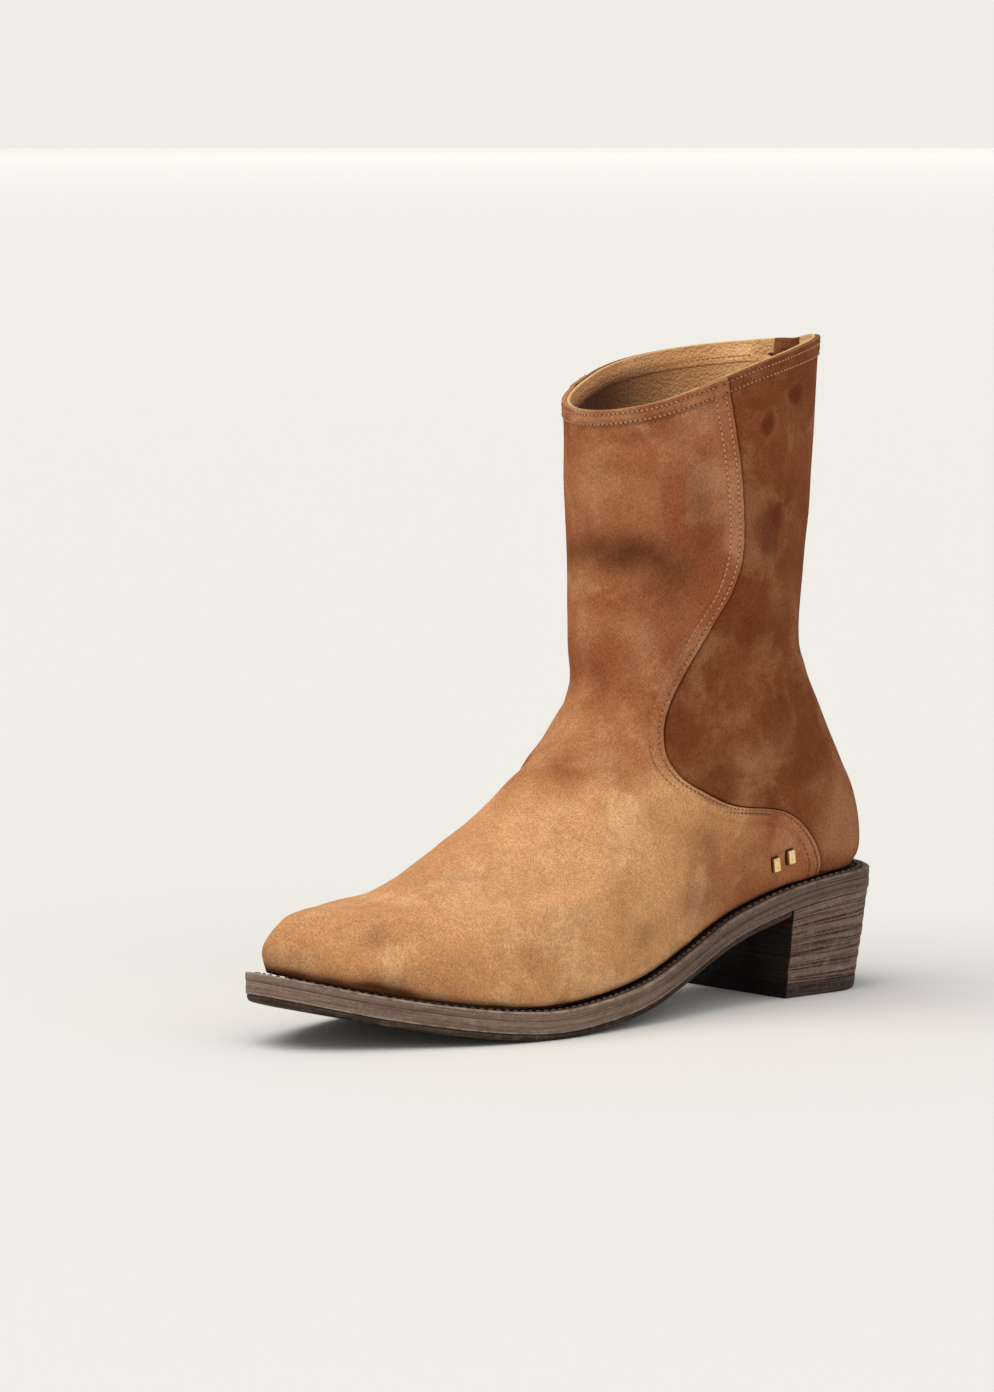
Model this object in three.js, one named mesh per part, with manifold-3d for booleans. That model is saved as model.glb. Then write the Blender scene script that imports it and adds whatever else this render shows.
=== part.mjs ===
// Western ankle boot for the left foot: suede upper with a back zip, 360 degree welt, stacked leather heel.
// Millimetres, +Z up, toe towards -Y, outer side of the foot towards +X, ground at z = 0.
// Along the sole, places are given as the distance forward from the back of the heel.

import * as THREE from 'three';
import { mergeVertices } from 'three/addons/utils/BufferGeometryUtils.js';
import Module from 'manifold-3d';

const wasm = await Module();
wasm.setup();

// ---------------------------------------------------------------- driving dimensions

const SOLE_LENGTH = 305;
const HEEL_ROUNDING = 26;        // length over which the back of the sole rounds off
const TOE_ROUNDING = 14;         // length over which the snipped toe rounds off
const WELT_THICKNESS = 3.2;
const WELT_BAND = 9.6;           // width of the welt, from the sole edge inwards
const OUTSOLE_THICKNESS = 5.2;
const RUBBER_THICKNESS = 2.5;
const LAYER_GAP = 0.3;           // clearance between touching pieces
const UPPER_INSET = 6;           // feather line of the upper, in from the sole edge

const HEEL_BREAST = 60;          // front face of the heel
const HEEL_LIFTS = 7;
const TOP_LIFT_THICKNESS = 6;
const HEEL_INSET = 0.6;          // how far its top stands in from the sole's edge
const HEEL_TAPER = 4.2;          // how far the heel draws in on its way down
const TOP_LIFT_SHARE = 0.15;     // share of that taper taken up by the rubber top lift
const LIFT_GAP = 0.2;

const SUEDE = 1.5;               // thickness of the panels
const LAP_RISE = 0.9;            // how far the front panel climbs over the quarters at its edge
const LAP_WIDTH = 12;
const SKIVED_OUTER = -1.1;       // depth range of the thinned quarter edge under the lap
const SKIVED_INNER = -1.8;
const LINING_OUTER = -3;
const LINING_THICKNESS = 1;
const STIFFENER_OUTER = -2.7;
const STIFFENER_INNER = -3.7;
const STIFFENER_ROOM = 1.8;      // extra depth of the lining behind a stiffener or a zip tape

const LAP_RAMP = 6;              // length over which that climb fades out
const SKIVE_LENGTH = 3;          // length over which the quarter thins before it goes under the lap

// Heights on the upper are fractions of its rise from the welt (0) to the collar (1).
const FOOT = 0.012;              // lower edge of the upper, just above the welt
const FACING_START = 0.985;      // lower edge of the collar facing
const COLLAR = 1;
const SOLE_INFLUENCE = 0.8;      // height below which the rings follow the sole's curve
const BULGE = 1.3;               // how far the sides swell out over the welt
const BULGE_TOP = 0.4;
const LIFT_START = 0.85;         // height above which the collar's own curve takes over

const COUNTER_REACH = 0.155;     // how far round the heel counter goes on each side of the back seam
const COUNTER_TOP = 0.38;
const PUFF_REACH = 0.14;         // the same for the toe puff, from the toe
const PUFF_TOP = 0.36;
const STIFFENER_FADE = 0.03;     // length round the ring over which the lining clears a stiffener
const LINING_SPLIT = 0.24;       // seam between the vamp lining and each quarter lining
const SPLIT_GAP = 0.0012;

const ZIP_START = 0.8;           // bottom stop of the zip
const ZIP_GAP_START = 0.775;     // where the quarters begin to part for the zip
const ZIP_GAP_OPENING = 0.012;   // height over which they part
const ZIP_HALF_GAP = 5.2;        // half width of the opening between the quarters
const SEAM_HALF_GAP = 0.25;
const LINING_SETBACK = 0.6;      // how far the lining stays behind the quarter's edge at the zip
const TAPE = { edge: 3.1, halfWidth: 13, outer: -1.9, inner: -2.4 };
const TOOTH_PITCH = 3.6;
const TOOTH_THICKNESS = 1.8;
const TOOTH_TIP = 0.6;           // how far a tooth reaches past the centre
const TOOTH_ROOT = 1.4;
const CHAIN_HALF_WIDTH = 2.8;
const TEETH_DEPTH = -1.7;        // middle of the teeth, under the surface of the quarters
const TEETH_START = 4;
const TEETH_END_MARGIN = 6;
const SLIDER = { width: 8.8, length: 9.5, low: -0.4, face: 1, wall: 1.1, wallDepth: 1.4, fromTop: 2.2 };
const BRIDGE = { width: 2, leg: 1.2, opening: 3.4, rise: 1.9, bar: 0.9, root: 0.2 };
const PULL = { width: 6, thickness: 1.1, length: 18, waist: 9, tip: 3, window: 4.4, windowWidth: 3 };
const BOTTOM_STOP = { width: 5.4, height: 2.4, z: 2.2 };
const TOP_STOP = { width: 2.4, height: 2.2, x: 1.6, above: 1.6 };
// The guard inside the zip: sewn at its outer side, it passes behind the teeth to the inner side's lining.
const GUARD = { free: -8, sewn: 12, start: 0.802, end: 0.997, sewnDepth: -2.9, freeDepth: -5.5 };
const GUARD_THICKNESS = 0.8;
const GUARD_STEP = { from: -2, to: -5.3 };

const STUD = { width: 3.4, height: 5.8, thickness: 1.2, lean: 0.18, stand: 0.45 };

const CORK_INSET = 10.4;
const INSOLE_INSET = 15;
const INSOLE_TOP = 2;            // heights of the inner layers, from the top of the welt
const INSOLE_BOTTOM = -0.6;
const SOCK_THICKNESS = 1.2;
const SHANK = { first: 50, last: 142, width: 12, top: -1.3, bottom: -2.7, room: 0.3 };
const SCREW = { place: 30, x: 1, radius: 2, head: 3.6, headHeight: 1, room: 0.35, bottom: 16 };

// ---------------------------------------------------------------- curves

// Smooth curve through [place, value] points, with slopes averaged from both sides.
function curveThrough(points) {
  const step = (i) => points[i + 1][0] - points[i][0];
  const rise = (i) => (points[i + 1][1] - points[i][1]) / step(i);
  const last = points.length - 1;
  const slopes = points.map((point, i) => {
    if (i === 0) return rise(0);
    if (i === last) return rise(last - 1);
    return (rise(i - 1) * step(i) + rise(i) * step(i - 1)) / (step(i - 1) + step(i));
  });
  return (x) => {
    let i = 0;
    while (i < last - 1 && x > points[i + 1][0]) i += 1;
    const width = step(i);
    const t = THREE.MathUtils.clamp((x - points[i][0]) / width, 0, 1);
    const t2 = t * t;
    const t3 = t2 * t;
    return (2 * t3 - 3 * t2 + 1) * points[i][1]
      + (t3 - 2 * t2 + t) * width * slopes[i]
      + (3 * t2 - 2 * t3) * points[i + 1][1]
      + (t3 - t2) * width * slopes[i + 1];
  };
}

const clamp01 = (x) => THREE.MathUtils.clamp(x, 0, 1);
const mix = THREE.MathUtils.lerp;
const ease = (x) => THREE.MathUtils.smoothstep(x, 0, 1);

// Narrowing of a rounded end: 1 inside the shape, falling to 0 where the distance reaches 1.
const roundEnd = (distance, power) => Math.sqrt(Math.max(0, 1 - clamp01(distance) ** power));

// ---------------------------------------------------------------- sole outline

const lateralHalf = curveThrough([
  [0, 36.5], [32, 37.5], [62, 37.5], [105, 38.5], [150, 47.5],
  [195, 52.4], [228, 47.5], [262, 32], [290, 16], [305, 7.5],
]);
const medialHalf = curveThrough([
  [0, 33], [32, 34], [62, 33.5], [105, 27.5], [150, 38],
  [195, 51.8], [228, 50.6], [262, 41], [290, 29.5], [305, 25],
]);
const weltTop = curveThrough([
  [0, 51], [30, 49.5], [60, 45.5], [90, 37.5], [120, 25.5], [150, 16.5],
  [180, 12.5], [205, 11.5], [235, 14.5], [270, 21], [305, 30],
]);

// Both edges of the sole outline at a place, drawn in by an inset.
function outlineAt(place, inset) {
  const lateral = lateralHalf(place) - inset;
  const medial = medialHalf(place) - inset;
  const heel = roundEnd((HEEL_ROUNDING + inset - place) / HEEL_ROUNDING, 2.2);
  const toe = roundEnd((place - (SOLE_LENGTH - inset - TOE_ROUNDING)) / TOE_ROUNDING, 2);
  const centre = (lateral - medial) / 2;
  const half = (lateral + medial) / 2 * heel * toe;
  return { lateral: centre + half, medial: centre - half };
}

const toY = (place) => SOLE_LENGTH / 2 - place;

// ---------------------------------------------------------------- the upper's master surface

// Rings from the feather line to the collar. front and back are [place, height] of the ring's ends,
// outer and inner its half widths, free says how far it has left the sole's outline, and toe and heel are
// the lengths over which its ends round off.
const RINGS = [
  { front: [298, 28], back: [6.5, 51], outer: 46, inner: 44, free: 0, toe: 22, heel: 27 },
  { front: [301.5, 39], back: [2, 58.5], outer: 46, inner: 44, free: 0, toe: 40, heel: 28 },
  { front: [294.5, 48], back: [2, 71], outer: 46, inner: 44, free: 0.03, toe: 84, heel: 31 },
  { front: [284, 52.5], back: [5, 83.5], outer: 45, inner: 43, free: 0.1, toe: 114, heel: 35 },
  { front: [253.5, 54.5], back: [11.5, 95], outer: 43, inner: 42, free: 0.25, toe: 142, heel: 37.5 },
  { front: [218, 69], back: [18.5, 107.5], outer: 41, inner: 40, free: 0.5, toe: 146, heel: 41.5 },
  { front: [181.5, 90.5], back: [25, 121], outer: 40, inner: 39, free: 0.75, toe: 128, heel: 47 },
  { front: [147.5, 125], back: [31.5, 135.5], outer: 39.5, inner: 38.5, free: 0.92, toe: 103, heel: 55 },
  { front: [143.5, 152], back: [34.5, 152], outer: 40, inner: 39.5, free: 1, toe: 78, heel: 60 },
  { front: [141.5, 194], back: [30.5, 205], outer: 43.5, inner: 43, free: 1, toe: 66, heel: 61 },
  { front: [141, 243.5], back: [26, 266], outer: 46, inner: 45.5, free: 1, toe: 67, heel: 63 },
];
const overRings = (read) => curveThrough(RINGS.map((ring, i) => [i / (RINGS.length - 1), read(ring)]));
const ringFront = overRings((ring) => ring.front[0]);
const ringFrontHeight = overRings((ring) => ring.front[1]);
const ringBack = overRings((ring) => ring.back[0]);
const ringBackHeight = overRings((ring) => ring.back[1]);
const ringOuter = overRings((ring) => ring.outer);
const ringInner = overRings((ring) => ring.inner);
const ringFree = overRings((ring) => ring.free);
const ringToe = overRings((ring) => ring.toe);
const ringHeel = overRings((ring) => ring.heel);

// How far the collar's edge stands above the straight line from its front to its back.
const collarLift = curveThrough([
  [0, 1.5], [0.06, 4.5], [0.12, 6.5], [0.2, 7.8], [0.26, 7.2], [0.32, 4], [0.38, 0.5], [0.44, -0.8],
  [0.5, -1.2], [0.58, -0.8], [0.66, 1.4], [0.72, 3.2], [0.78, 3.4], [0.86, 2.2], [0.93, 1.2], [1, 1.5],
]);

// Point of the upper: u goes round from the back seam (0) by the outer side (0.25) to the toe (0.5) and
// home by the inner side; v rises from the feather line (0) to the collar (1).
function upperPoint(u, v) {
  const angle = 2 * Math.PI * u;
  const front = ringFront(v);
  const back = ringBack(v);
  const place = back + (front - back) * (1 - Math.cos(angle)) / 2;
  const free = ringFree(v);
  const inset = UPPER_INSET - BULGE * Math.sin(Math.PI * clamp01(v / BULGE_TOP));
  const lateral = mix(lateralHalf(place) - inset, ringOuter(v), free);
  const medial = mix(medialHalf(place) - inset, ringInner(v), free);
  const heel = roundEnd((back + ringHeel(v) - place) / ringHeel(v), 2.2);
  const toe = roundEnd((place - front + ringToe(v)) / ringToe(v), 2.1);
  const half = (lateral + medial) / 2 * heel * toe;
  const side = Math.sin(angle) >= 0 ? 1 : -1;
  const along = (place - back) / (front - back);
  const soleDip = weltTop(place) - mix(weltTop(back), weltTop(front), along);
  const lift = collarLift(u - Math.floor(u)) * ease((v - LIFT_START) / (1 - LIFT_START));
  const z = mix(ringBackHeight(v), ringFrontHeight(v), along)
    + soleDip * clamp01(1 - v / SOLE_INFLUENCE) ** 1.1 + lift;
  return new THREE.Vector3((lateral - medial) / 2 + side * half, toY(place), z);
}

function upperNormal(u, v) {
  const step = 0.002;
  const low = Math.max(v - step, 0);
  const high = Math.min(v + step, 1);
  const round = upperPoint(u + step, v).sub(upperPoint(u - step, v));
  const rise = upperPoint(u, high).sub(upperPoint(u, low));
  return rise.cross(round).normalize();
}

const upperOffset = (u, v, depth) => upperPoint(u, v).addScaledVector(upperNormal(u, v), depth);

// Place round the ring that is a given distance to the outer side (positive) of the back seam.
function acrossBack(distance, v) {
  let near = 0;
  let far = 0.2;
  for (let i = 0; i < 30; i += 1) {
    const middle = (near + far) / 2;
    const reach = Math.abs(upperPoint(Math.sign(distance) * middle, v).x - upperPoint(0, v).x);
    if (reach < Math.abs(distance)) near = middle;
    else far = middle;
  }
  return Math.sign(distance) * near;
}

// Edge of the front panel: from the collar down the shaft, round the ankle and back along the heel.
const frontEdge = curveThrough([
  [0, 0.113], [0.1, 0.1175], [0.2, 0.1295], [0.3, 0.149], [0.4, 0.19], [0.5, 0.236],
  [0.58, 0.283], [0.64, 0.32], [0.675, 0.3345], [0.71, 0.335], [0.76, 0.321], [0.81, 0.2985],
  [0.845, 0.2765], [0.875, 0.27], [0.925, 0.28], [1, 0.306],
]);

// ---------------------------------------------------------------- solids

// Closed solid from corner points and faces. Equal corners are joined and faces without area dropped.
function closedSolid(points, faces) {
  const corners = faces.flatMap((face) => {
    const triangles = [];
    for (let i = 1; i < face.length - 1; i += 1) triangles.push(face[0], face[i], face[i + 1]);
    return triangles;
  });
  const flat = new THREE.BufferGeometry();
  const positions = corners.flatMap((i) => points[i].toArray());
  flat.setAttribute('position', new THREE.Float32BufferAttribute(positions, 3));
  const joined = mergeVertices(flat, 1e-4);
  const kept = [];
  const index = joined.index.array;
  for (let i = 0; i < index.length; i += 3) {
    const [a, b, c] = [index[i], index[i + 1], index[i + 2]];
    if (a !== b && b !== c && c !== a) kept.push(a, b, c);
  }
  joined.setIndex(kept);
  joined.computeVertexNormals();
  return joined;
}

// Curved panel between two depths under the master surface. columns(v) gives the places round the ring of its
// corners at each height v, and rows the heights.
function panel({ columns, rows, outer, inner }) {
  const points = [];
  const wide = columns(rows[0]).length;
  for (const depth of [outer, inner]) {
    for (const v of rows) {
      for (const u of columns(v)) points.push(upperOffset(u, v, depth(u, v)));
    }
  }
  const out = (i, j) => j * wide + i;
  const inside = (i, j) => (rows.length + j) * wide + i;
  const faces = [];
  const right = wide - 1;
  const top = rows.length - 1;
  for (let j = 0; j < top; j += 1) {
    for (let i = 0; i < right; i += 1) {
      faces.push([out(i, j), out(i, j + 1), out(i + 1, j + 1), out(i + 1, j)]);
      faces.push([inside(i, j), inside(i + 1, j), inside(i + 1, j + 1), inside(i, j + 1)]);
    }
    faces.push([out(0, j), inside(0, j), inside(0, j + 1), out(0, j + 1)]);
    faces.push([out(right, j + 1), inside(right, j + 1), inside(right, j), out(right, j)]);
  }
  for (let i = 0; i < right; i += 1) {
    faces.push([out(i + 1, 0), inside(i + 1, 0), inside(i, 0), out(i, 0)]);
    faces.push([out(i, top), inside(i, top), inside(i + 1, top), out(i + 1, top)]);
  }
  return closedSolid(points, faces);
}

// Solid from cross-sections of four corners each, closed at both ends. The corners run medial bottom,
// lateral bottom, lateral top, medial top, and the sections run from the heel forward.
function sections(list) {
  const faces = [];
  for (let i = 0; i < list.length - 1; i += 1) {
    for (let k = 0; k < 4; k += 1) {
      const next = (k + 1) % 4;
      faces.push([i * 4 + k, i * 4 + next, i * 4 + 4 + next, i * 4 + 4 + k]);
    }
  }
  const last = (list.length - 1) * 4;
  faces.push([3, 2, 1, 0]);
  faces.push([last, last + 1, last + 2, last + 3]);
  return closedSolid(list.flat(), faces);
}

// Flat-sided layer of the sole. Each face has an inset, first and last place, and a height over the place.
function soleLayer({ count, spacing, top, bottom }) {
  const list = [];
  for (let i = 0; i <= count; i += 1) {
    const along = spacing(i / count);
    const corners = (face) => {
      const place = mix(face.first, face.last, along);
      const edge = outlineAt(place, face.inset);
      const z = face.height(place);
      return [new THREE.Vector3(edge.medial, toY(place), z), new THREE.Vector3(edge.lateral, toY(place), z)];
    };
    const [medialLow, lateralLow] = corners(bottom);
    const [medialHigh, lateralHigh] = corners(top);
    list.push([medialLow, lateralLow, lateralHigh, medialHigh]);
  }
  return sections(list);
}

const bothEndsRound = (t) => (1 - Math.cos(Math.PI * t)) / 2;
const backEndRound = (t) => 1 - Math.cos(Math.PI * t / 2);
const frontEndRound = (t) => Math.sin(Math.PI * t / 2);
const range = (from, to, count) => Array.from({ length: count + 1 }, (_, i) => mix(from, to, i / count));

// A layer that fills the outline at an inset, between two depths below the top of the welt.
function fullLayer(inset, high, low, count) {
  const last = SOLE_LENGTH - inset;
  const face = (depth) => ({ inset, first: inset, last, height: (place) => weltTop(place) + depth });
  return soleLayer({ count, spacing: bothEndsRound, top: face(high), bottom: face(low) });
}

// ---------------------------------------------------------------- joining and cutting

function toManifold(geometry) {
  const bare = geometry.clone();
  bare.deleteAttribute('normal');
  bare.deleteAttribute('uv');
  const joined = mergeVertices(bare, 1e-4);
  const mesh = new wasm.Mesh({
    numProp: 3,
    vertProperties: new Float32Array(joined.attributes.position.array),
    triVerts: new Uint32Array(joined.index.array),
  });
  return new wasm.Manifold(mesh);
}

function fromManifold(solid) {
  const mesh = solid.getMesh();
  const geometry = new THREE.BufferGeometry();
  geometry.setAttribute('position', new THREE.BufferAttribute(new Float32Array(mesh.vertProperties), 3));
  geometry.setIndex(new THREE.BufferAttribute(new Uint32Array(mesh.triVerts), 1));
  geometry.computeVertexNormals();
  return geometry;
}

const cut = (body, tool) => fromManifold(toManifold(body).subtract(toManifold(tool)));
const join = (...bodies) => fromManifold(bodies.map(toManifold).reduce((all, one) => all.add(one)));

function block(width, depth, height, x, y, z) {
  return new THREE.BoxGeometry(width, depth, height).translate(x, y, z);
}

// Upright round bar between two heights.
function post(radius, low, high, x, y) {
  const bar = new THREE.CylinderGeometry(radius, radius, high - low, 10);
  return bar.rotateX(Math.PI / 2).translate(x, y, (low + high) / 2);
}

// ---------------------------------------------------------------- materials

function finish(color, roughness, metalness = 0) {
  return new THREE.MeshStandardMaterial({ color, roughness, metalness });
}

const lightSuede = finish(0xb98455, 0.95);
const darkSuede = finish(0x8a5736, 0.95);
const tanLeather = finish(0xc39a63, 0.7);
const stackedLeather = finish(0x5a483c, 0.6);
const blackRubber = finish(0x1d1b1a, 0.75);
const boardFibre = finish(0x8f7a5c, 0.9);
const corkGrain = finish(0xa07a4d, 0.95);
const springSteel = finish(0x8b8f94, 0.4, 1);
const goldPlate = finish(0xd8b56a, 0.3, 1);
const zipTape = finish(0x17161a, 0.9);
const zipMetal = finish(0x2a2a2c, 0.35, 1);

const boot = new THREE.Group();

function place(name, geometry, material, parent = boot) {
  const mesh = new THREE.Mesh(geometry, material);
  mesh.name = name;
  parent.add(mesh);
  return mesh;
}

// ---------------------------------------------------------------- upper: suede panels

const edgePoints = (side) => range(FOOT, COLLAR, 90).map((v) => upperPoint(side * frontEdge(v), v));
const seamPoints = { lateral: edgePoints(1), medial: edgePoints(-1) };

function distanceToSeam(point) {
  let nearest = Infinity;
  for (const seam of [seamPoints.lateral, seamPoints.medial]) {
    for (const other of seam) nearest = Math.min(nearest, point.distanceToSquared(other));
  }
  return Math.sqrt(nearest);
}

// How much of the lap's rise applies at a point of the front panel: all of it over the lap, none further in.
const lapShare = (u, v) => ease((LAP_WIDTH + LAP_RAMP - distanceToSeam(upperPoint(u, v))) / LAP_RAMP);

const suedeRows = [
  FOOT, ...range(0.1, 0.58, 7), 0.63, 0.67, 0.71, 0.74,
  ZIP_GAP_START - ZIP_GAP_OPENING, ZIP_GAP_START, 0.82, 0.87, 0.91, 0.95, COLLAR,
];

// Place round the ring that lies a distance ahead of the front panel's edge.
function pastEdge(v, distance) {
  const u = frontEdge(v);
  const step = 0.01;
  return u + step * distance / upperPoint(u, v).distanceTo(upperPoint(u + step, v));
}
const lapSteps = [0, LAP_WIDTH / 3, LAP_WIDTH * 2 / 3, LAP_WIDTH];

function frontPanel() {
  const columns = (v) => {
    const lap = lapSteps.map((distance) => pastEdge(v, distance));
    const first = pastEdge(v, LAP_WIDTH + LAP_RAMP);
    return [...lap, ...range(first, 1 - first, 24), ...lap.map((u) => 1 - u).reverse()];
  };
  const outer = (u, v) => LAP_RISE * lapShare(u, v);
  return panel({ columns, rows: suedeRows, outer, inner: (u, v) => outer(u, v) - SUEDE });
}

// Distance of the quarter's back edge from the centre: a seam over the heel, an opening at the zip.
function backHalfGap(v) {
  return mix(SEAM_HALF_GAP, ZIP_HALF_GAP, ease((v - ZIP_GAP_START) / ZIP_GAP_OPENING + 1));
}

// One back quarter. Ahead of the front panel's edge it runs on, thinned, under the lap.
function quarter(side) {
  const columns = (v) => {
    const outward = [
      ...range(acrossBack(backHalfGap(v), v), pastEdge(v, -8), 7),
      pastEdge(v, -SKIVE_LENGTH),
      ...lapSteps.map((distance) => pastEdge(v, distance)),
    ];
    return side > 0 ? outward : outward.map((u) => -u).reverse();
  };
  const underLap = (u, v) => Math.abs(u) >= frontEdge(v) - 1e-9;
  const outer = (u, v) => (underLap(u, v) ? SKIVED_OUTER : 0);
  const inner = (u, v) => (underLap(u, v) ? SKIVED_INNER : -SUEDE);
  return panel({ columns, rows: suedeRows, outer, inner });
}

place('front_panel', frontPanel(), lightSuede);
place('lateral_quarter', quarter(1), darkSuede);
place('medial_quarter', quarter(-1), darkSuede);

// ---------------------------------------------------------------- upper: linings and stiffeners

const fromBack = (u) => Math.min(Math.abs(u), Math.abs(1 - u));

// Share of the room at a place, fading out past a stiffener's reach and top.
function stiffenerShare(away, v, reach, top) {
  return ease((reach + STIFFENER_FADE * 1.5 - away) / STIFFENER_FADE) * ease((top + 0.09 - v) / 0.07);
}

// Room that the lining leaves for the heel counter, the toe puff and the zip tapes.
function liningRoom(u, v) {
  const counter = stiffenerShare(fromBack(u), v, COUNTER_REACH, COUNTER_TOP);
  const puff = stiffenerShare(Math.abs(u - 0.5), v, PUFF_REACH, PUFF_TOP);
  const tape = 0.6 * ease((0.105 - fromBack(u)) / STIFFENER_FADE) * ease((v - 0.7) / 0.05);
  return STIFFENER_ROOM * Math.max(counter, puff, tape);
}
const liningOuter = (u, v) => LINING_OUTER - liningRoom(u, v);
const liningInner = (u, v) => liningOuter(u, v) - LINING_THICKNESS;

const liningRows = [...suedeRows.filter((v) => v < FACING_START), FACING_START - 0.002];
const zipEdge = (v, side) => acrossBack(side * (backHalfGap(v) + LINING_SETBACK), v);

// Band of lining between two edges, each a place round the ring at every height.
function liningBand(start, end, count, rows) {
  const columns = (v) => range(start(v), end(v), count);
  return panel({ columns, rows, outer: liningOuter, inner: liningInner });
}

place('vamp_lining', liningBand(() => LINING_SPLIT, () => 1 - LINING_SPLIT, 22, liningRows), tanLeather);
place(
  'lateral_quarter_lining',
  liningBand((v) => zipEdge(v, 1), () => LINING_SPLIT - SPLIT_GAP, 7, liningRows),
  tanLeather,
);
place(
  'medial_quarter_lining',
  liningBand(() => SPLIT_GAP - LINING_SPLIT, (v) => zipEdge(v, -1), 7, liningRows),
  tanLeather,
);
place(
  'collar_facing',
  liningBand((v) => zipEdge(v, 1), (v) => 1 + zipEdge(v, -1), 32, [FACING_START, COLLAR]),
  tanLeather,
);

function stiffener(centre, reach, top, columns, rows) {
  return panel({
    columns: () => range(centre - reach, centre + reach, columns),
    rows: range(FOOT, top, rows),
    outer: () => STIFFENER_OUTER,
    inner: () => STIFFENER_INNER,
  });
}

place('heel_counter', stiffener(0, COUNTER_REACH, COUNTER_TOP, 12, 4), boardFibre);
place('toe_puff', stiffener(0.5, PUFF_REACH, PUFF_TOP, 12, 4), boardFibre);

// ---------------------------------------------------------------- back zip

// The zip's own frame: its origin at the bottom stop, z up the zip, y out of the boot, x to the outer side.
const zipBottom = upperPoint(0, ZIP_START);
const zipTop = upperPoint(0, COLLAR);
const zipUp = zipTop.clone().sub(zipBottom).normalize();
const zipLength = zipTop.distanceTo(zipBottom);
const zip = new THREE.Group();
zip.position.copy(zipBottom);
zip.rotation.x = Math.atan2(-zipUp.y, zipUp.z);
boot.add(zip);

const TEETH_COUNT = Math.floor((zipLength - TEETH_START - TEETH_END_MARGIN) / TOOTH_PITCH);
const teethEnd = TEETH_START + TEETH_COUNT * TOOTH_PITCH;

function zipTapeStrip(side) {
  const reaches = range(TAPE.edge, TAPE.halfWidth, 3).map((x) => side * x);
  if (side < 0) reaches.reverse();
  return panel({
    columns: (v) => reaches.map((x) => acrossBack(x, v)),
    rows: range(ZIP_START - 0.01, COLLAR - 0.01, 8),
    outer: () => TAPE.outer,
    inner: () => TAPE.inner,
  });
}

// One side of the teeth: a strip along the tape with a tooth reaching across the centre at each pitch.
function teethRow(side) {
  const tip = -side * TOOTH_TIP;
  const root = side * TOOTH_ROOT;
  const outerEdge = side * CHAIN_HALF_WIDTH;
  const shift = side > 0 ? 0 : TOOTH_PITCH / 2;
  const clearance = 0.5;
  const width = TOOTH_PITCH / 2 - clearance;
  const taper = 0.2;
  const outline = [[outerEdge, teethEnd], [outerEdge, TEETH_START], [root, TEETH_START]];
  for (let i = 0; i < TEETH_COUNT - 1; i += 1) {
    const low = TEETH_START + 0.6 + shift + i * TOOTH_PITCH;
    outline.push([root, low], [tip, low + taper], [tip, low + width - taper], [root, low + width]);
  }
  outline.push([root, teethEnd]);
  const shape = new THREE.Shape(outline.map(([x, y]) => new THREE.Vector2(x, y)));
  const comb = new THREE.ExtrudeGeometry(shape, { depth: TOOTH_THICKNESS, bevelEnabled: false });
  return comb.rotateX(Math.PI / 2).translate(0, TEETH_DEPTH + TOOTH_THICKNESS / 2, 0);
}

const sliderMiddle = teethEnd - SLIDER.fromTop - SLIDER.length / 2;
const hingeOut = SLIDER.face + BRIDGE.rise / 2;

// Slider: a plate over the teeth, a wall down each side of them, and a bridge that holds the pull.
function zipSlider() {
  const { width, length, low, face, wall, wallDepth } = SLIDER;
  const plate = block(width, face - low, length, 0, (face + low) / 2, 0);
  const wallY = low - wallDepth / 2 + 0.1;
  const walls = [-1, 1].map((side) => block(wall, wallDepth, length, side * (width - wall) / 2, wallY, 0));
  const legAt = (BRIDGE.opening + BRIDGE.leg) / 2;
  const legRise = BRIDGE.rise + BRIDGE.bar + BRIDGE.root;
  const legY = face - BRIDGE.root / 2 + (BRIDGE.rise + BRIDGE.bar) / 2;
  const legs = [-1, 1].map((end) => block(BRIDGE.width, legRise, BRIDGE.leg, 0, legY, end * legAt));
  const barLength = BRIDGE.opening + BRIDGE.leg * 2;
  const bar = block(BRIDGE.width, BRIDGE.bar, barLength, 0, face + BRIDGE.rise + BRIDGE.bar / 2, 0);
  return join(plate, ...walls, ...legs, bar).translate(0, 0, sliderMiddle);
}

// Pull: a tab with a window at its top, whose upper bar passes through the slider's bridge.
function zipPull() {
  const half = PULL.width / 2;
  const low = -PULL.length;
  const bar = PULL.thickness / 2;
  const left = [
    [-half + 0.8, bar], [-half, bar - 0.7], [-half + 0.5, -PULL.waist], [-half, low + PULL.tip],
    [-half + 1, low + 0.6], [-half + 2, low],
  ];
  const right = left.map(([x, y]) => [-x, y]).reverse();
  const shape = new THREE.Shape([...left, ...right].map(([x, y]) => new THREE.Vector2(x, y)));
  const window = new THREE.Path();
  const side = PULL.windowWidth / 2;
  window.moveTo(-side, -bar);
  window.lineTo(-side, -PULL.window);
  window.lineTo(side, -PULL.window);
  window.lineTo(side, -bar);
  shape.holes.push(window);
  const tab = new THREE.ExtrudeGeometry(shape, { depth: PULL.thickness, bevelEnabled: false });
  return tab.translate(0, 0, -PULL.thickness / 2).rotateX(Math.PI / 2);
}

place('zip_tape_lateral', zipTapeStrip(1), zipTape);
place('zip_tape_medial', zipTapeStrip(-1), zipTape);
place('zip_teeth_lateral', teethRow(1), zipMetal, zip);
place('zip_teeth_medial', teethRow(-1), zipMetal, zip);
place('zip_slider', zipSlider(), zipMetal, zip);

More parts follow.
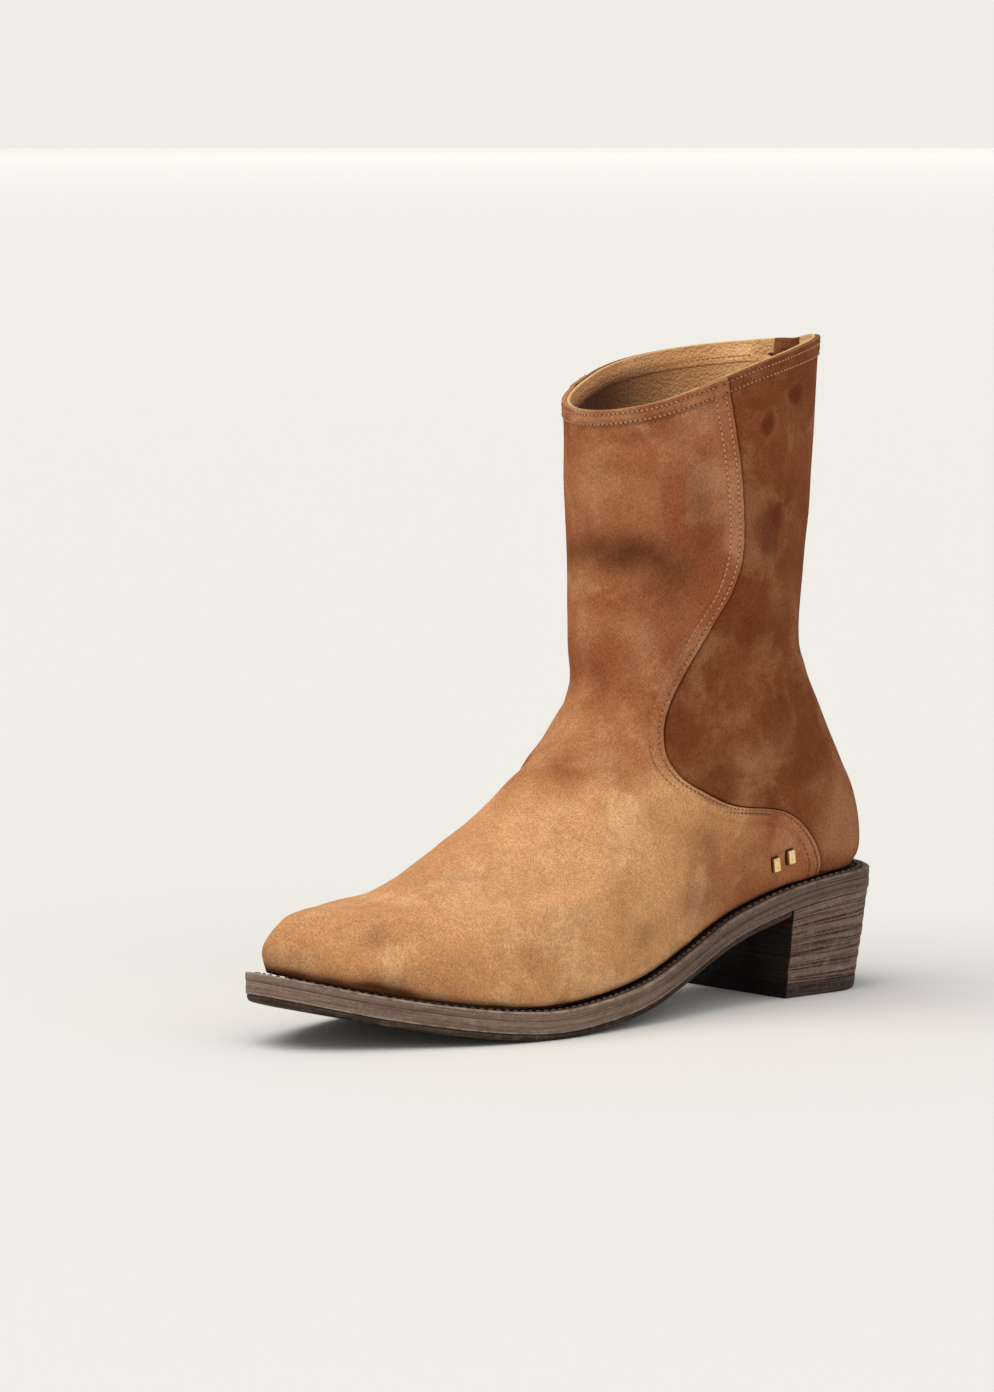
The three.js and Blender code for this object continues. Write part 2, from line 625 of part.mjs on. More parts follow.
// The pull hangs straight down from its hinge, so it stands a little off the leaning zip.
const pullHanger = new THREE.Group();
pullHanger.position.set(0, hingeOut, sliderMiddle);
pullHanger.rotation.x = -zip.rotation.x;
zip.add(pullHanger);
place('zip_pull', zipPull(), zipMetal, pullHanger);

// End stop of the zip, in line with its teeth.
function zipStop({ width, height }, x, z) {
  return block(width, TOOTH_THICKNESS, height, x, TEETH_DEPTH, z);
}

place('zip_bottom_stop', zipStop(BOTTOM_STOP, 0, BOTTOM_STOP.z), zipMetal, zip);
for (const [name, side] of [['zip_top_stop_lateral', 1], ['zip_top_stop_medial', -1]]) {
  place(name, zipStop(TOP_STOP, side * TOP_STOP.x, teethEnd + TOP_STOP.above), zipMetal, zip);
}

// Suede flap inside the zip.
function zipGuard() {
  const reaches = [
    GUARD.free, mix(GUARD.free, GUARD_STEP.to, 0.5), ...range(GUARD_STEP.to, GUARD_STEP.from, 3),
    ...range(GUARD_STEP.from, GUARD.sewn, 3).slice(1),
  ];
  const across = (u, v) => upperPoint(u, v).x - upperPoint(0, v).x;
  const step = (u, v) => ease((GUARD_STEP.from - across(u, v)) / (GUARD_STEP.from - GUARD_STEP.to));
  const outer = (u, v) => mix(GUARD.sewnDepth, GUARD.freeDepth, step(u, v));
  return panel({
    columns: (v) => reaches.map((x) => acrossBack(x, v)),
    rows: range(GUARD.start, GUARD.end, 8),
    outer,
    inner: (u, v) => outer(u, v) - GUARD_THICKNESS,
  });
}

place('zip_guard', zipGuard(), darkSuede);

// ---------------------------------------------------------------- gold studs at the heel

function stud(u, v) {
  const out = upperNormal(u, v);
  const stand = LAP_RISE * lapShare(u, v) + STUD.stand + STUD.thickness / 2;
  const seat = upperPoint(u, v).addScaledVector(out, stand);
  const across = new THREE.Vector3(0, 0, 1).cross(out).normalize();
  const up = out.clone().cross(across);
  const turn = new THREE.Matrix4().makeBasis(across, up, out);
  const plate = new THREE.BoxGeometry(STUD.width, STUD.height, STUD.thickness);
  return plate.rotateZ(STUD.lean).applyMatrix4(turn).translate(seat.x, seat.y, seat.z);
}

place('stud_front', stud(0.1545, 0.13), goldPlate);
place('stud_rear', stud(0.1445, 0.14), goldPlate);

// ---------------------------------------------------------------- sole

// The welt: a band all round the sole outline, from its edge inwards.
function weltRing() {
  const count = 60;
  const points = [];
  for (let i = 0; i < count; i += 1) {
    const angle = 2 * Math.PI * i / count;
    const corner = (inset, depth) => {
      const at = mix(inset, SOLE_LENGTH - inset, (1 - Math.cos(angle)) / 2);
      const edge = outlineAt(at, inset);
      const x = Math.sin(angle) >= 0 ? edge.lateral : edge.medial;
      return new THREE.Vector3(x, toY(at), weltTop(at) + depth);
    };
    points.push(corner(0, 0), corner(WELT_BAND, 0));
    points.push(corner(WELT_BAND, -WELT_THICKNESS), corner(0, -WELT_THICKNESS));
  }
  const faces = [];
  for (let i = 0; i < count; i += 1) {
    const here = i * 4;
    const ahead = ((i + 1) % count) * 4;
    for (let k = 0; k < 4; k += 1) {
      const next = (k + 1) % 4;
      faces.push([here + k, here + next, ahead + next, ahead + k]);
    }
  }
  return closedSolid(points, faces);
}

const corkTop = INSOLE_BOTTOM - LAYER_GAP;
const corkBottom = -WELT_THICKNESS;
const outsoleTop = -WELT_THICKNESS - LAYER_GAP;
const outsoleBottom = outsoleTop - OUTSOLE_THICKNESS;
const heelSeat = (at) => weltTop(at) + outsoleBottom - LAYER_GAP;

const screwHead = weltTop(SCREW.place) + INSOLE_TOP - LAYER_GAP;
const aboveScrew = screwHead + 5;
const screwPost = (radius, low, high) => post(radius, low, high, SCREW.x, toY(SCREW.place));
const screwHole = screwPost(SCREW.radius + SCREW.room, SCREW.bottom - 1, aboveScrew);
const headHole = screwPost(SCREW.head + SCREW.room, screwHead - SCREW.headHeight - SCREW.room, aboveScrew);

// Strip along the waist between two heights, following the sole's curve: the shank or its pocket.
function shankStrip(room, low, high) {
  const half = SHANK.width / 2 + room;
  const list = range(SHANK.first - room, SHANK.last + room, 12).map((at) => {
    const edge = outlineAt(at, 0);
    const centre = (edge.lateral + edge.medial) / 2;
    const corner = (side, depth) => new THREE.Vector3(centre + side * half, toY(at), weltTop(at) + depth);
    return [corner(-1, low), corner(1, low), corner(1, high), corner(-1, high)];
  });
  return sections(list);
}

const shankPocket = shankStrip(SHANK.room, corkBottom - 1, SHANK.top + SHANK.room);
const cork = fullLayer(CORK_INSET, corkTop, corkBottom, 22);
const insole = fullLayer(INSOLE_INSET, INSOLE_TOP, INSOLE_BOTTOM, 22);
const sockBottom = INSOLE_TOP + LAYER_GAP;
const sock = fullLayer(INSOLE_INSET + LAYER_GAP, sockBottom + SOCK_THICKNESS, sockBottom, 22);
place('welt', weltRing(), stackedLeather);
place('cork_filler', cut(cut(cork, shankPocket), screwHole), corkGrain);
place('shank', shankStrip(0, SHANK.bottom, SHANK.top), springSteel);
place('insole_board', cut(cut(insole, screwHole), headHole), boardFibre);
place('sock_lining', sock, tanLeather);
place('outsole', cut(fullLayer(0.3, outsoleTop, outsoleBottom, 30), screwHole), stackedLeather);

const rubberTop = outsoleBottom - LAYER_GAP;
const rubberFace = (depth) => ({
  inset: 0.5,
  first: HEEL_BREAST + 1,
  last: SOLE_LENGTH - 0.5,
  height: (at) => Math.max(0, weltTop(at) + depth),
});
place('rubber_sole', soleLayer({
  count: 26,
  spacing: frontEndRound,
  top: rubberFace(rubberTop),
  bottom: rubberFace(rubberTop - RUBBER_THICKNESS),
}), blackRubber);

// ---------------------------------------------------------------- heel

// Face of the heel at a share of the way from the ground (0) to the sole (1).
function heelFace(share, height) {
  const inset = mix(HEEL_INSET + HEEL_TAPER, HEEL_INSET, share);
  return { inset, first: inset, last: HEEL_BREAST, height };
}

function heelLift(number) {
  const level = (share) => (at) => mix(TOP_LIFT_THICKNESS + LIFT_GAP, heelSeat(at), share);
  const low = (number - 1) / HEEL_LIFTS;
  const high = number / HEEL_LIFTS;
  const solid = soleLayer({
    count: 12,
    spacing: backEndRound,
    top: heelFace(mix(TOP_LIFT_SHARE, 1, high), (at) => level(high)(at) - LIFT_GAP),
    bottom: heelFace(mix(TOP_LIFT_SHARE, 1, low), level(low)),
  });
  return heelSeat(SCREW.place) * high > SCREW.bottom ? cut(solid, screwHole) : solid;
}

for (let number = 1; number <= HEEL_LIFTS; number += 1) {
  place(`heel_lift_${number}`, heelLift(number), stackedLeather);
}

place('rubber_top_lift', soleLayer({
  count: 12,
  spacing: backEndRound,
  top: heelFace(TOP_LIFT_SHARE, () => TOP_LIFT_THICKNESS),
  bottom: heelFace(0, () => 0),
}), blackRubber);

const screwShaft = screwPost(SCREW.radius, SCREW.bottom, screwHead - SCREW.headHeight / 2);
const screwTop = screwPost(SCREW.head, screwHead - SCREW.headHeight, screwHead);
place('heel_screw', join(screwShaft, screwTop), springSteel);

export default boot;
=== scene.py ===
"""Looks of a western ankle boot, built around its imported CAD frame.

Lengths in the shape code are millimetres and turn into metres when a mesh is made. +Z is up, the toe points
towards -Y and the outer side of the foot is +X. Places along the sole are distances forward from the back of
the heel. On the upper, u goes round from the back seam (0) by the outer side (0.25) to the toe (0.5), and v
rises from the welt (0) to the collar (1).
"""
import math

import bmesh
import bpy
import numpy as np
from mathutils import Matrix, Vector


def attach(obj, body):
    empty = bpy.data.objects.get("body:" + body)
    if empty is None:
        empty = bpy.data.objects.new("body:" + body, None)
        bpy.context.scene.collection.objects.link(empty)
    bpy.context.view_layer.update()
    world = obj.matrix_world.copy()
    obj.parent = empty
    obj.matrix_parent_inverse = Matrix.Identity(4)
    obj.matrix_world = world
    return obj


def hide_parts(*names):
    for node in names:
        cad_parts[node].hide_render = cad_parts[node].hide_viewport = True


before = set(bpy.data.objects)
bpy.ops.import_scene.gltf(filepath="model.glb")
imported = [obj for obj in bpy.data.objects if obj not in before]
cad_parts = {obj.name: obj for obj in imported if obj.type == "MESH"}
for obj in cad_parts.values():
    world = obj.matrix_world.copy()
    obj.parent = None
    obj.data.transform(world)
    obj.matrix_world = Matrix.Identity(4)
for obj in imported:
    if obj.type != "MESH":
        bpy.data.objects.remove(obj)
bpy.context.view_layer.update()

MM = 0.001

# ------------ dimensions, as in the CAD part

SOLE_LENGTH = 305
HEEL_ROUNDING = 26
TOE_ROUNDING = 14
UPPER_INSET = 6
OUTSOLE_TOP = -3.5               # heights of the sole's layers, from the top of the welt
OUTSOLE_BOTTOM = -8.7
RUBBER_TOP = -9.0
RUBBER_BOTTOM = -11.5
HEEL_BREAST = 60
HEEL_LIFTS = 7
TOP_LIFT_THICKNESS = 6
HEEL_TAPER = 4.2
SUEDE = 1.5
LAP_RISE = 0.9
LAP_WIDTH = 12
LAP_RAMP = 6
FOOT = 0.012                     # where the panels start, in units of v
FACING_START = 0.985
COLLAR_RISE = 545                # millimetres of leather for one unit of v near the collar
LIFT_START = 0.85                # where the collar's sides start to rise
ZIP_GAP_START = 0.775
ZIP_HALF_GAP = 5.2
SEAM_HALF_GAP = 0.25
LINING_SPLIT = 0.24              # place round the ring where the vamp's lining meets a quarter's
LINING_SPLIT_GAP = 0.0005
WELT_BULGE = 1.3                 # how far the upper bulges past its inset just above the welt


def clamp01(x):
    return np.clip(x, 0.0, 1.0)


def ease(x):
    x = clamp01(x)
    return x * x * (3 - 2 * x)


def mix(a, b, t):
    return a + (b - a) * t


def hump(x, width):
    """Bell of height 1 about 0."""
    return np.exp(-(x / width) ** 2)


def curve_through(points):
    """Smooth curve through (place, value) points, as in the CAD part."""
    places = np.array([p[0] for p in points], float)
    values = np.array([p[1] for p in points], float)
    steps = np.diff(places)
    rises = np.diff(values) / steps
    slopes = np.empty(len(places))
    slopes[0], slopes[-1] = rises[0], rises[-1]
    slopes[1:-1] = (rises[:-1] * steps[:-1] + rises[1:] * steps[1:]) / (steps[:-1] + steps[1:])

    def read(x):
        x = np.asarray(x, float)
        i = np.clip(np.searchsorted(places, x, side="right") - 1, 0, len(steps) - 1)
        t = clamp01((x - places[i]) / steps[i])
        t2, t3 = t * t, t * t * t
        return ((2 * t3 - 3 * t2 + 1) * values[i] + (t3 - 2 * t2 + t) * steps[i] * slopes[i]
                + (3 * t2 - 2 * t3) * values[i + 1] + (t3 - t2) * steps[i] * slopes[i + 1])

    return read


def round_end(distance, power):
    """Share of the width that is left at a distance (0 to 1) into a rounded end."""
    return np.sqrt(np.maximum(0.0, 1 - clamp01(distance) ** power))


# ------------ sole outline

lateral_half = curve_through([(0, 36.5), (32, 37.5), (62, 37.5), (105, 38.5), (150, 47.5),
                              (195, 52.4), (228, 47.5), (262, 32), (290, 16), (305, 7.5)])
medial_half = curve_through([(0, 33), (32, 34), (62, 33.5), (105, 27.5), (150, 38),
                             (195, 51.8), (228, 50.6), (262, 41), (290, 29.5), (305, 25)])
welt_top = curve_through([(0, 51), (30, 49.5), (60, 45.5), (90, 37.5), (120, 25.5), (150, 16.5),
                          (180, 12.5), (205, 11.5), (235, 14.5), (270, 21), (305, 30)])


def outline_at(place, inset):
    """Outer and inner side of the sole's outline at a place, moved in by an inset."""
    lateral = lateral_half(place) - inset
    medial = medial_half(place) - inset
    heel = round_end((HEEL_ROUNDING + inset - place) / HEEL_ROUNDING, 2.2)
    toe = round_end((place - (SOLE_LENGTH - inset - TOE_ROUNDING)) / TOE_ROUNDING, 2)
    centre = (lateral - medial) / 2
    half = (lateral + medial) / 2 * heel * toe
    return centre + half, centre - half


def to_y(place):
    return SOLE_LENGTH / 2 - place


# ------------ the upper's master surface

# From the feather line to the collar: front place and height, back place and height, outer and inner half
# widths, share by which the ring has left the sole's outline, and how long its toe and heel ends round off.
RINGS = [
    (298, 28, 6.5, 51, 46, 44, 0, 22, 27),
    (301.5, 39, 2, 58.5, 46, 44, 0, 40, 28),
    (294.5, 48, 2, 71, 46, 44, 0.03, 84, 31),
    (284, 52.5, 5, 83.5, 45, 43, 0.1, 114, 35),
    (253.5, 54.5, 11.5, 95, 43, 42, 0.25, 142, 37.5),
    (218, 69, 18.5, 107.5, 41, 40, 0.5, 146, 41.5),
    (181.5, 90.5, 25, 121, 40, 39, 0.75, 128, 47),
    (147.5, 125, 31.5, 135.5, 39.5, 38.5, 0.92, 103, 55),
    (143.5, 152, 34.5, 152, 40, 39.5, 1, 78, 60),
    (141.5, 194, 30.5, 205, 43.5, 43, 1, 66, 61),
    (141, 243.5, 26, 266, 46, 45.5, 1, 67, 63),
]
RING_CURVES = [curve_through([(i / 10, value) for i, value in enumerate(values)]) for values in zip(*RINGS)]

# How far the collar's sides stand above its front and back, round the ring.
collar_lift = curve_through([
    (0, 1.5), (0.06, 4.5), (0.12, 6.5), (0.2, 7.8), (0.26, 7.2), (0.32, 4), (0.38, 0.5), (0.44, -0.8),
    (0.5, -1.2), (0.58, -0.8), (0.66, 1.4), (0.72, 3.2), (0.78, 3.4), (0.86, 2.2), (0.93, 1.2), (1, 1.5),
])


def upper_point(u, v):
    """Point of the surface that every leather of the upper is laid on, at its own depth."""
    u, v = np.broadcast_arrays(np.asarray(u, float), np.asarray(v, float))
    angle = 2 * np.pi * u
    front, front_z, back, back_z, outer, inner, free, toe_reach, heel_reach = [c(v) for c in RING_CURVES]
    place = back + (front - back) * (1 - np.cos(angle)) / 2
    inset = UPPER_INSET - WELT_BULGE * np.sin(np.pi * clamp01(v / 0.4))
    lateral = mix(lateral_half(place) - inset, outer, free)
    medial = mix(medial_half(place) - inset, inner, free)
    heel = round_end((back + heel_reach - place) / heel_reach, 2.2)
    toe = round_end((place - front + toe_reach) / toe_reach, 2.1)
    half = (lateral + medial) / 2 * heel * toe
    side = np.where(np.sin(angle) >= 0, 1.0, -1.0)
    along = (place - back) / (front - back)
    dip = welt_top(place) - mix(welt_top(back), welt_top(front), along)
    z = mix(back_z, front_z, along) + dip * clamp01(1 - v / 0.8) ** 1.1
    z = z + collar_lift(u - np.floor(u)) * ease((v - LIFT_START) / (1 - LIFT_START))
    return np.stack([(lateral - medial) / 2 + side * half, to_y(place), z], -1)


def from_back(u):
    """Share of the ring between a place and the back seam, on either side."""
    return np.abs((np.asarray(u, float) + 0.5) % 1 - 0.5)


def from_toe(u):
    """Share of the ring between a place and the toe, on either side."""
    return np.abs(u % 1 - 0.5)


def length(vectors):
    return np.linalg.norm(vectors, axis=-1)


def unit(vectors):
    return vectors / np.maximum(length(vectors), 1e-9)[..., None]


def upper_normal(u, v):
    step = 0.002
    round_way = upper_point(u + step, v) - upper_point(u - step, v)
    rise = upper_point(u, np.minimum(v + step, 1)) - upper_point(u, np.maximum(v - step, 0))
    return unit(np.cross(rise, round_way))


def rise_length(u, v):
    """Millimetres of leather for one unit of v."""
    step = 0.004
    v = np.asarray(v, float)
    low, high = np.maximum(v - step, 0), np.minimum(v + step, 1)
    return length(upper_point(u, high) - upper_point(u, low)) / (high - low)


def across_back(distance, v):
    """Place round the ring that lies a distance to the outer side (positive) of the back seam."""
    distance, v = np.broadcast_arrays(np.asarray(distance, float), np.asarray(v, float))
    near, far = np.zeros(distance.shape), np.full(distance.shape, 0.2)
    sign = np.where(distance < 0, -1.0, 1.0)
    seam_x = upper_point(0, v)[..., 0]
    for _ in range(26):
        middle = (near + far) / 2
        short = np.abs(upper_point(sign * middle, v)[..., 0] - seam_x) < np.abs(distance)
        near, far = np.where(short, middle, near), np.where(short, far, middle)
    return sign * near


front_edge = curve_through([
    (0, 0.113), (0.1, 0.1175), (0.2, 0.1295), (0.3, 0.149), (0.4, 0.19), (0.5, 0.236), (0.58, 0.283),
    (0.64, 0.32), (0.675, 0.3345), (0.71, 0.335), (0.76, 0.321), (0.81, 0.2985), (0.845, 0.2765),
    (0.875, 0.27), (0.925, 0.28), (1, 0.306),
])


EDGE_STEP = 0.01                 # share of the ring over which lengths beside the seam are measured


def past_edge(v, distance):
    """Place round the ring a distance ahead of the front panel's edge."""
    u = front_edge(v)
    return u + EDGE_STEP * distance / length(upper_point(u, v) - upper_point(u + EDGE_STEP, v))


def back_half_gap(v):
    """Half of the gap between the quarters: a seam below, and room for the zip above."""
    return mix(SEAM_HALF_GAP, ZIP_HALF_GAP, ease((v - ZIP_GAP_START) / 0.012 + 1))


SEAM_V = np.linspace(FOOT, 1, 500)
SEAMS = np.concatenate([upper_point(side * front_edge(SEAM_V), SEAM_V) for side in (1, -1)])
BATCH = 20000                    # points at a time, to save memory


def seam_distance(points):
    """Distance from each point to the nearer edge of the front panel."""
    flat = points.reshape(-1, 3)
    found = []
    for start in range(0, len(flat), BATCH):
        part = flat[start:start + BATCH]
        square = (part ** 2).sum(1)[:, None] + (SEAMS ** 2).sum(1)[None] - 2 * part @ SEAMS.T
        found.append(np.sqrt(np.maximum(square.min(1), 0)))
    return np.concatenate(found).reshape(points.shape[:-1])


def lap_rise(distance):
    """How far the front panel stands out over the quarters at a distance from its edge."""
    return LAP_RISE * ease((LAP_WIDTH + LAP_RAMP - distance) / LAP_RAMP)


# ------------ wear: folds, dents and smudges

def waves(points, size, seed):
    """Smooth wandering value, mostly between -1 and 1, with features of about a size in mm."""
    rng = np.random.default_rng(seed)
    total = 0
    for _ in range(7):
        way = unit(rng.normal(size=3))
        turns = points @ way * (2 * np.pi / size) * rng.uniform(0.7, 1.4)
        total = total + np.sin(turns + rng.uniform(0, 6.28))
    return total / 3.2


FOLD_DEPTH = 1.5
# Folds of the ankle: places (u, v) that the valley runs through, its share of FOLD_DEPTH and its half width.
FOLDS = [
    ([(0.55, 0.73), (0.5, 0.742), (0.455, 0.717), (0.41, 0.684), (0.375, 0.665)], 1.1, 7.5),
    ([(0.56, 0.655), (0.51, 0.668), (0.46, 0.648), (0.425, 0.627), (0.385, 0.6)], 0.9, 7.5),
    ([(0.54, 0.575), (0.5, 0.588), (0.455, 0.575), (0.42, 0.56)], 0.5, 6.5),
    ([(0.45, 0.8), (0.41, 0.79), (0.37, 0.775)], 0.45, 9),
    ([(0.62, 0.655), (0.59, 0.69), (0.56, 0.715)], 0.8, 7),
    ([(0.63, 0.585), (0.58, 0.62), (0.545, 0.64)], 0.7, 7),
    ([(0.27, 0.60), (0.235, 0.64), (0.2, 0.66)], 0.5, 8),
    ([(-0.27, 0.60), (-0.235, 0.63), (-0.19, 0.65)], 0.5, 8),
    ([(0.25, 0.74), (0.21, 0.75), (0.17, 0.735)], 0.35, 8),
]
# Broad dents: place, radius and depth.
DENTS = [
    (0.45, 0.885, 19, 1.1), (0.36, 0.8, 16, 0.5), (0.56, 0.87, 20, 0.9), (0.25, 0.9, 14, 0.5),
    (0.2, 0.84, 13, 0.4), (0.75, 0.9, 16, 0.6), (0.78, 0.82, 14, 0.4), (0.44, 0.46, 14, 0.4),
    (0.58, 0.45, 14, 0.4),
]
STUD_PLACES = [(0.1545, 0.13), (0.1445, 0.14)]


def fold_shift(points):
    """Valleys along the folds, each with a raised rim on both sides."""
    shift = np.zeros(points.shape[:-1])
    for stations, depth, width in FOLDS:
        t = np.linspace(0, 1, 40)
        knots = np.linspace(0, 1, len(stations))
        path = upper_point(*(np.interp(t, knots, places) for places in zip(*stations)))
        flat = points.reshape(-1, 3)
        best, where = np.full(len(flat), 1e9), np.zeros(len(flat))
        for k, station in enumerate(path):
            far = length(flat - station)
            closer = far < best
            best[closer], where[closer] = far[closer], t[k]
        share = np.sqrt(np.clip(np.sin(np.pi * clamp01(where * 0.94 + 0.03)), 0, 1))
        x = (best / width).reshape(shift.shape)
        shift -= FOLD_DEPTH * depth * share.reshape(shift.shape) * (1 - x * x) * np.exp(-x * x)
    return shift


def relief(u, v):
    """How far the worn leather stands off the master surface. The collar flares out over the zip."""
    base = upper_point(u, v)
    low_fade = ease(v / 0.12)
    shift = (0.4 * waves(base, 58, 3) + 0.16 * waves(base, 24, 5)) * low_fade
    shift = shift + fold_shift(base) * low_fade
    for place_u, place_v, radius, depth in DENTS:
        far = length(base - upper_point(place_u, place_v))
        shift = shift - depth * hump(far, radius)
    flare = ease((np.asarray(v) - 0.955) / 0.045) * ease((0.085 - from_back(u)) / 0.065)
    return shift + 3.6 * flare


# ------------ meshes

def new_object(name, points, face_sets, finish, replaces=(), marks=None, crease=38, weld=False):
    """Object from points in mm and arrays of faces. marks are numbers per point that the finish reads."""
    mesh = bpy.data.meshes.new(name)
    points = np.asarray(points, float).reshape(-1, 3)
    mesh.vertices.add(len(points))
    mesh.vertices.foreach_set("co", (points * MM).astype(np.float32).ravel())
    loops = np.concatenate([np.asarray(f).ravel() for f in face_sets]).astype(np.int32)
    sizes = np.concatenate([np.full(len(f), np.asarray(f).shape[1]) for f in face_sets])
    starts = np.concatenate([[0], np.cumsum(sizes)[:-1]]).astype(np.int32)
    mesh.loops.add(len(loops))
    mesh.loops.foreach_set("vertex_index", loops)
    mesh.polygons.add(len(starts))
    mesh.polygons.foreach_set("loop_start", starts)
    for mark, values in (marks or {}).items():
        layer = mesh.attributes.new(mark, "FLOAT", "POINT")
        layer.data.foreach_set("value", np.asarray(values, np.float32).ravel())
    mesh.update(calc_edges=True)
    mesh.validate()
    if weld:
        work = bmesh.new()
        work.from_mesh(mesh)
        bmesh.ops.remove_doubles(work, verts=work.verts, dist=2e-6)
        bmesh.ops.dissolve_degenerate(work, edges=work.edges, dist=1e-6)
        work.to_mesh(mesh)
        work.free()
    mesh.shade_smooth()
    mesh.set_sharp_from_angle(angle=math.radians(crease))
    made = bpy.data.objects.new(name, mesh)
    bpy.context.scene.collection.objects.link(made)
    mesh.materials.append(finish)
    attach(made, "boot")
    if replaces:
        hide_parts(*replaces)
    return made


def rows_between(low, high, spacing, fine=(), fine_low=()):
    """Heights v at an even spacing in mm of leather. fine and fine_low list distances below the top and above
    the foot that also get a row."""
    v = np.linspace(low, high, 400)
    longest = np.max([rise_length(u, v) for u in (0.02, 0.12, 0.25, 0.38, 0.5)], axis=0)
    run = np.concatenate([[0], np.cumsum((longest[1:] + longest[:-1]) / 2 * np.diff(v))])
    reach = [run[-1] - d for d in fine] + list(fine_low)
    top = run[-1] - (max(fine) if fine else 0)
    bottom = max(fine_low) if fine_low else 0
    even = np.linspace(bottom, top, int((top - bottom) / spacing) + 1)
    return np.interp(np.unique(np.round(np.concatenate([even, reach]), 4)), run, v)


def rolled(distance, radius):
    """Drop of a rounded cut edge at a distance from it."""
    d = np.clip(distance, 0, radius)
    return radius - np.sqrt(np.maximum(radius ** 2 - (radius - d) ** 2, 0))


def sheet_faces(high, wide):
    """Faces of a closed sheet: a grid of outer points, then one of inner points, joined round their edges."""
    top = np.arange(high * wide).reshape(high, wide)
    low = top + high * wide
    return [
        np.stack([top[:-1, :-1], top[1:, :-1], top[1:, 1:], top[:-1, 1:]], -1).reshape(-1, 4),
        np.stack([low[:-1, :-1], low[:-1, 1:], low[1:, 1:], low[1:, :-1]], -1).reshape(-1, 4),
        np.stack([top[:-1, 0], low[:-1, 0], low[1:, 0], top[1:, 0]], -1),
        np.stack([top[1:, -1], low[1:, -1], low[:-1, -1], top[:-1, -1]], -1),
        np.stack([top[0, 1:], low[0, 1:], low[0, :-1], top[0, :-1]], -1),
        np.stack([top[-1, :-1], low[-1, :-1], low[-1, 1:], top[-1, 1:]], -1),
    ]


def shell(name, rows, columns, outer, inner, finish, replaces, marks):
    """Sheet of leather on the master surface, closed round its edges. columns(v) gives the places round the
    ring. outer, inner and marks take (u, v, points): two give depths and the third the finish's numbers."""
    v = np.asarray(rows)[:, None]
    u = columns(v)
    v = np.broadcast_to(v, u.shape)
    base, normal, shift = upper_point(u, v), upper_normal(u, v), relief(u, v)
    points = np.stack([base + normal * (depth(u, v, base) + shift)[..., None] for depth in (outer, inner)])
    values = {key: np.tile(np.broadcast_to(x, u.shape).ravel(), 2) for key, x in marks(u, v, base).items()}
    new_object(name, points, sheet_faces(*u.shape), finish, replaces=replaces, marks=values)


def path_on_upper(u, v, depth):
    """Points and normals of a line on the worn surface."""
    u, v = np.broadcast_arrays(np.asarray(u, float), np.asarray(v, float))
    normal = upper_normal(u, v)
    return upper_point(u, v) + normal * (relief(u, v) + depth)[..., None], normal


# Along one stitch: where its rings lie (in pitches), how high (in rises) and how thick (in radii).
STITCH_PLACES = np.array([-0.36, -0.32, -0.18, 0, 0.18, 0.32, 0.36])
STITCH_LIFTS = np.array([-1.6, -0.4, 0.6, 0.85, 0.6, -0.4, -1.6])
STITCH_WIDTHS = np.array([0.45, 0.9, 1, 1.05, 1, 0.9, 0.45])
STITCH_SLANT = 0.1
THREAD_SIDES = 6
HOLE_SIDES = 8


def run_length(points):
    """Distance along a line at each of its points."""
    return np.concatenate([[0], np.cumsum(length(np.diff(points, axis=0)))])


def read_line(run, values, s):
    """Values of a line at distances along it."""
    return np.stack([np.interp(s, run, values[:, k]) for k in range(3)], -1)


def along_line(run, points, normals, s):
    """Place, and the ways out, ahead and to the side, at distances along a line."""
    out = unit(read_line(run, normals, s))
    ahead = unit(read_line(run, points, s + 0.2) - read_line(run, points, s - 0.2))
    return read_line(run, points, s), out, ahead, np.cross(ahead, out)


def circle(sides):
    turn = np.arange(sides) / sides * 2 * np.pi
    return np.cos(turn)[:, None], np.sin(turn)[:, None]


def threads(run, points, normals, pitch, radius, rise, seed, fade):
    """Points, sides, ends and marks of the stitches along one line: flattened rings round a bent thread."""
    count = int(run[-1] / pitch)
    rng = np.random.default_rng(seed)
    middle = (np.arange(count) + 0.5) * pitch + rng.normal(0, 0.03, count) * pitch
    place, out, _, side = along_line(run, points, normals, middle[:, None] + STITCH_PLACES * pitch)
    slant = STITCH_PLACES * pitch * STITCH_SLANT
    place = place + out * (STITCH_LIFTS * rise)[:, None] + side * slant[:, None]
    across, upward = circle(THREAD_SIDES)
    width = (STITCH_WIDTHS * radius)[:, None, None]
    ring = place[:, :, None] + side[:, :, None] * (1.1 * across * width)
    ring = ring + out[:, :, None] * (0.85 * upward * width)
    sides, ends = np.arange(THREAD_SIDES), len(STITCH_PLACES) - 1
    first = np.arange(ends)[:, None] * THREAD_SIDES + sides
    after = np.arange(ends)[:, None] * THREAD_SIDES + (sides + 1) % THREAD_SIDES
    quad = np.stack([first, first + THREAD_SIDES, after + THREAD_SIDES, after], -1).reshape(-1, 4)
    size = ring[0].size // 3
    start = np.arange(count)[:, None] * size
    caps = np.concatenate([start + sides, start + size - 1 - sides])
    shade = np.zeros(count) if fade is None else np.interp(middle, run, fade)
    tones = np.repeat(shade + rng.normal(0, 0.06, count), size)
    return ring.reshape(-1, 3), (start[..., None] + quad).reshape(-1, 4), caps, tones


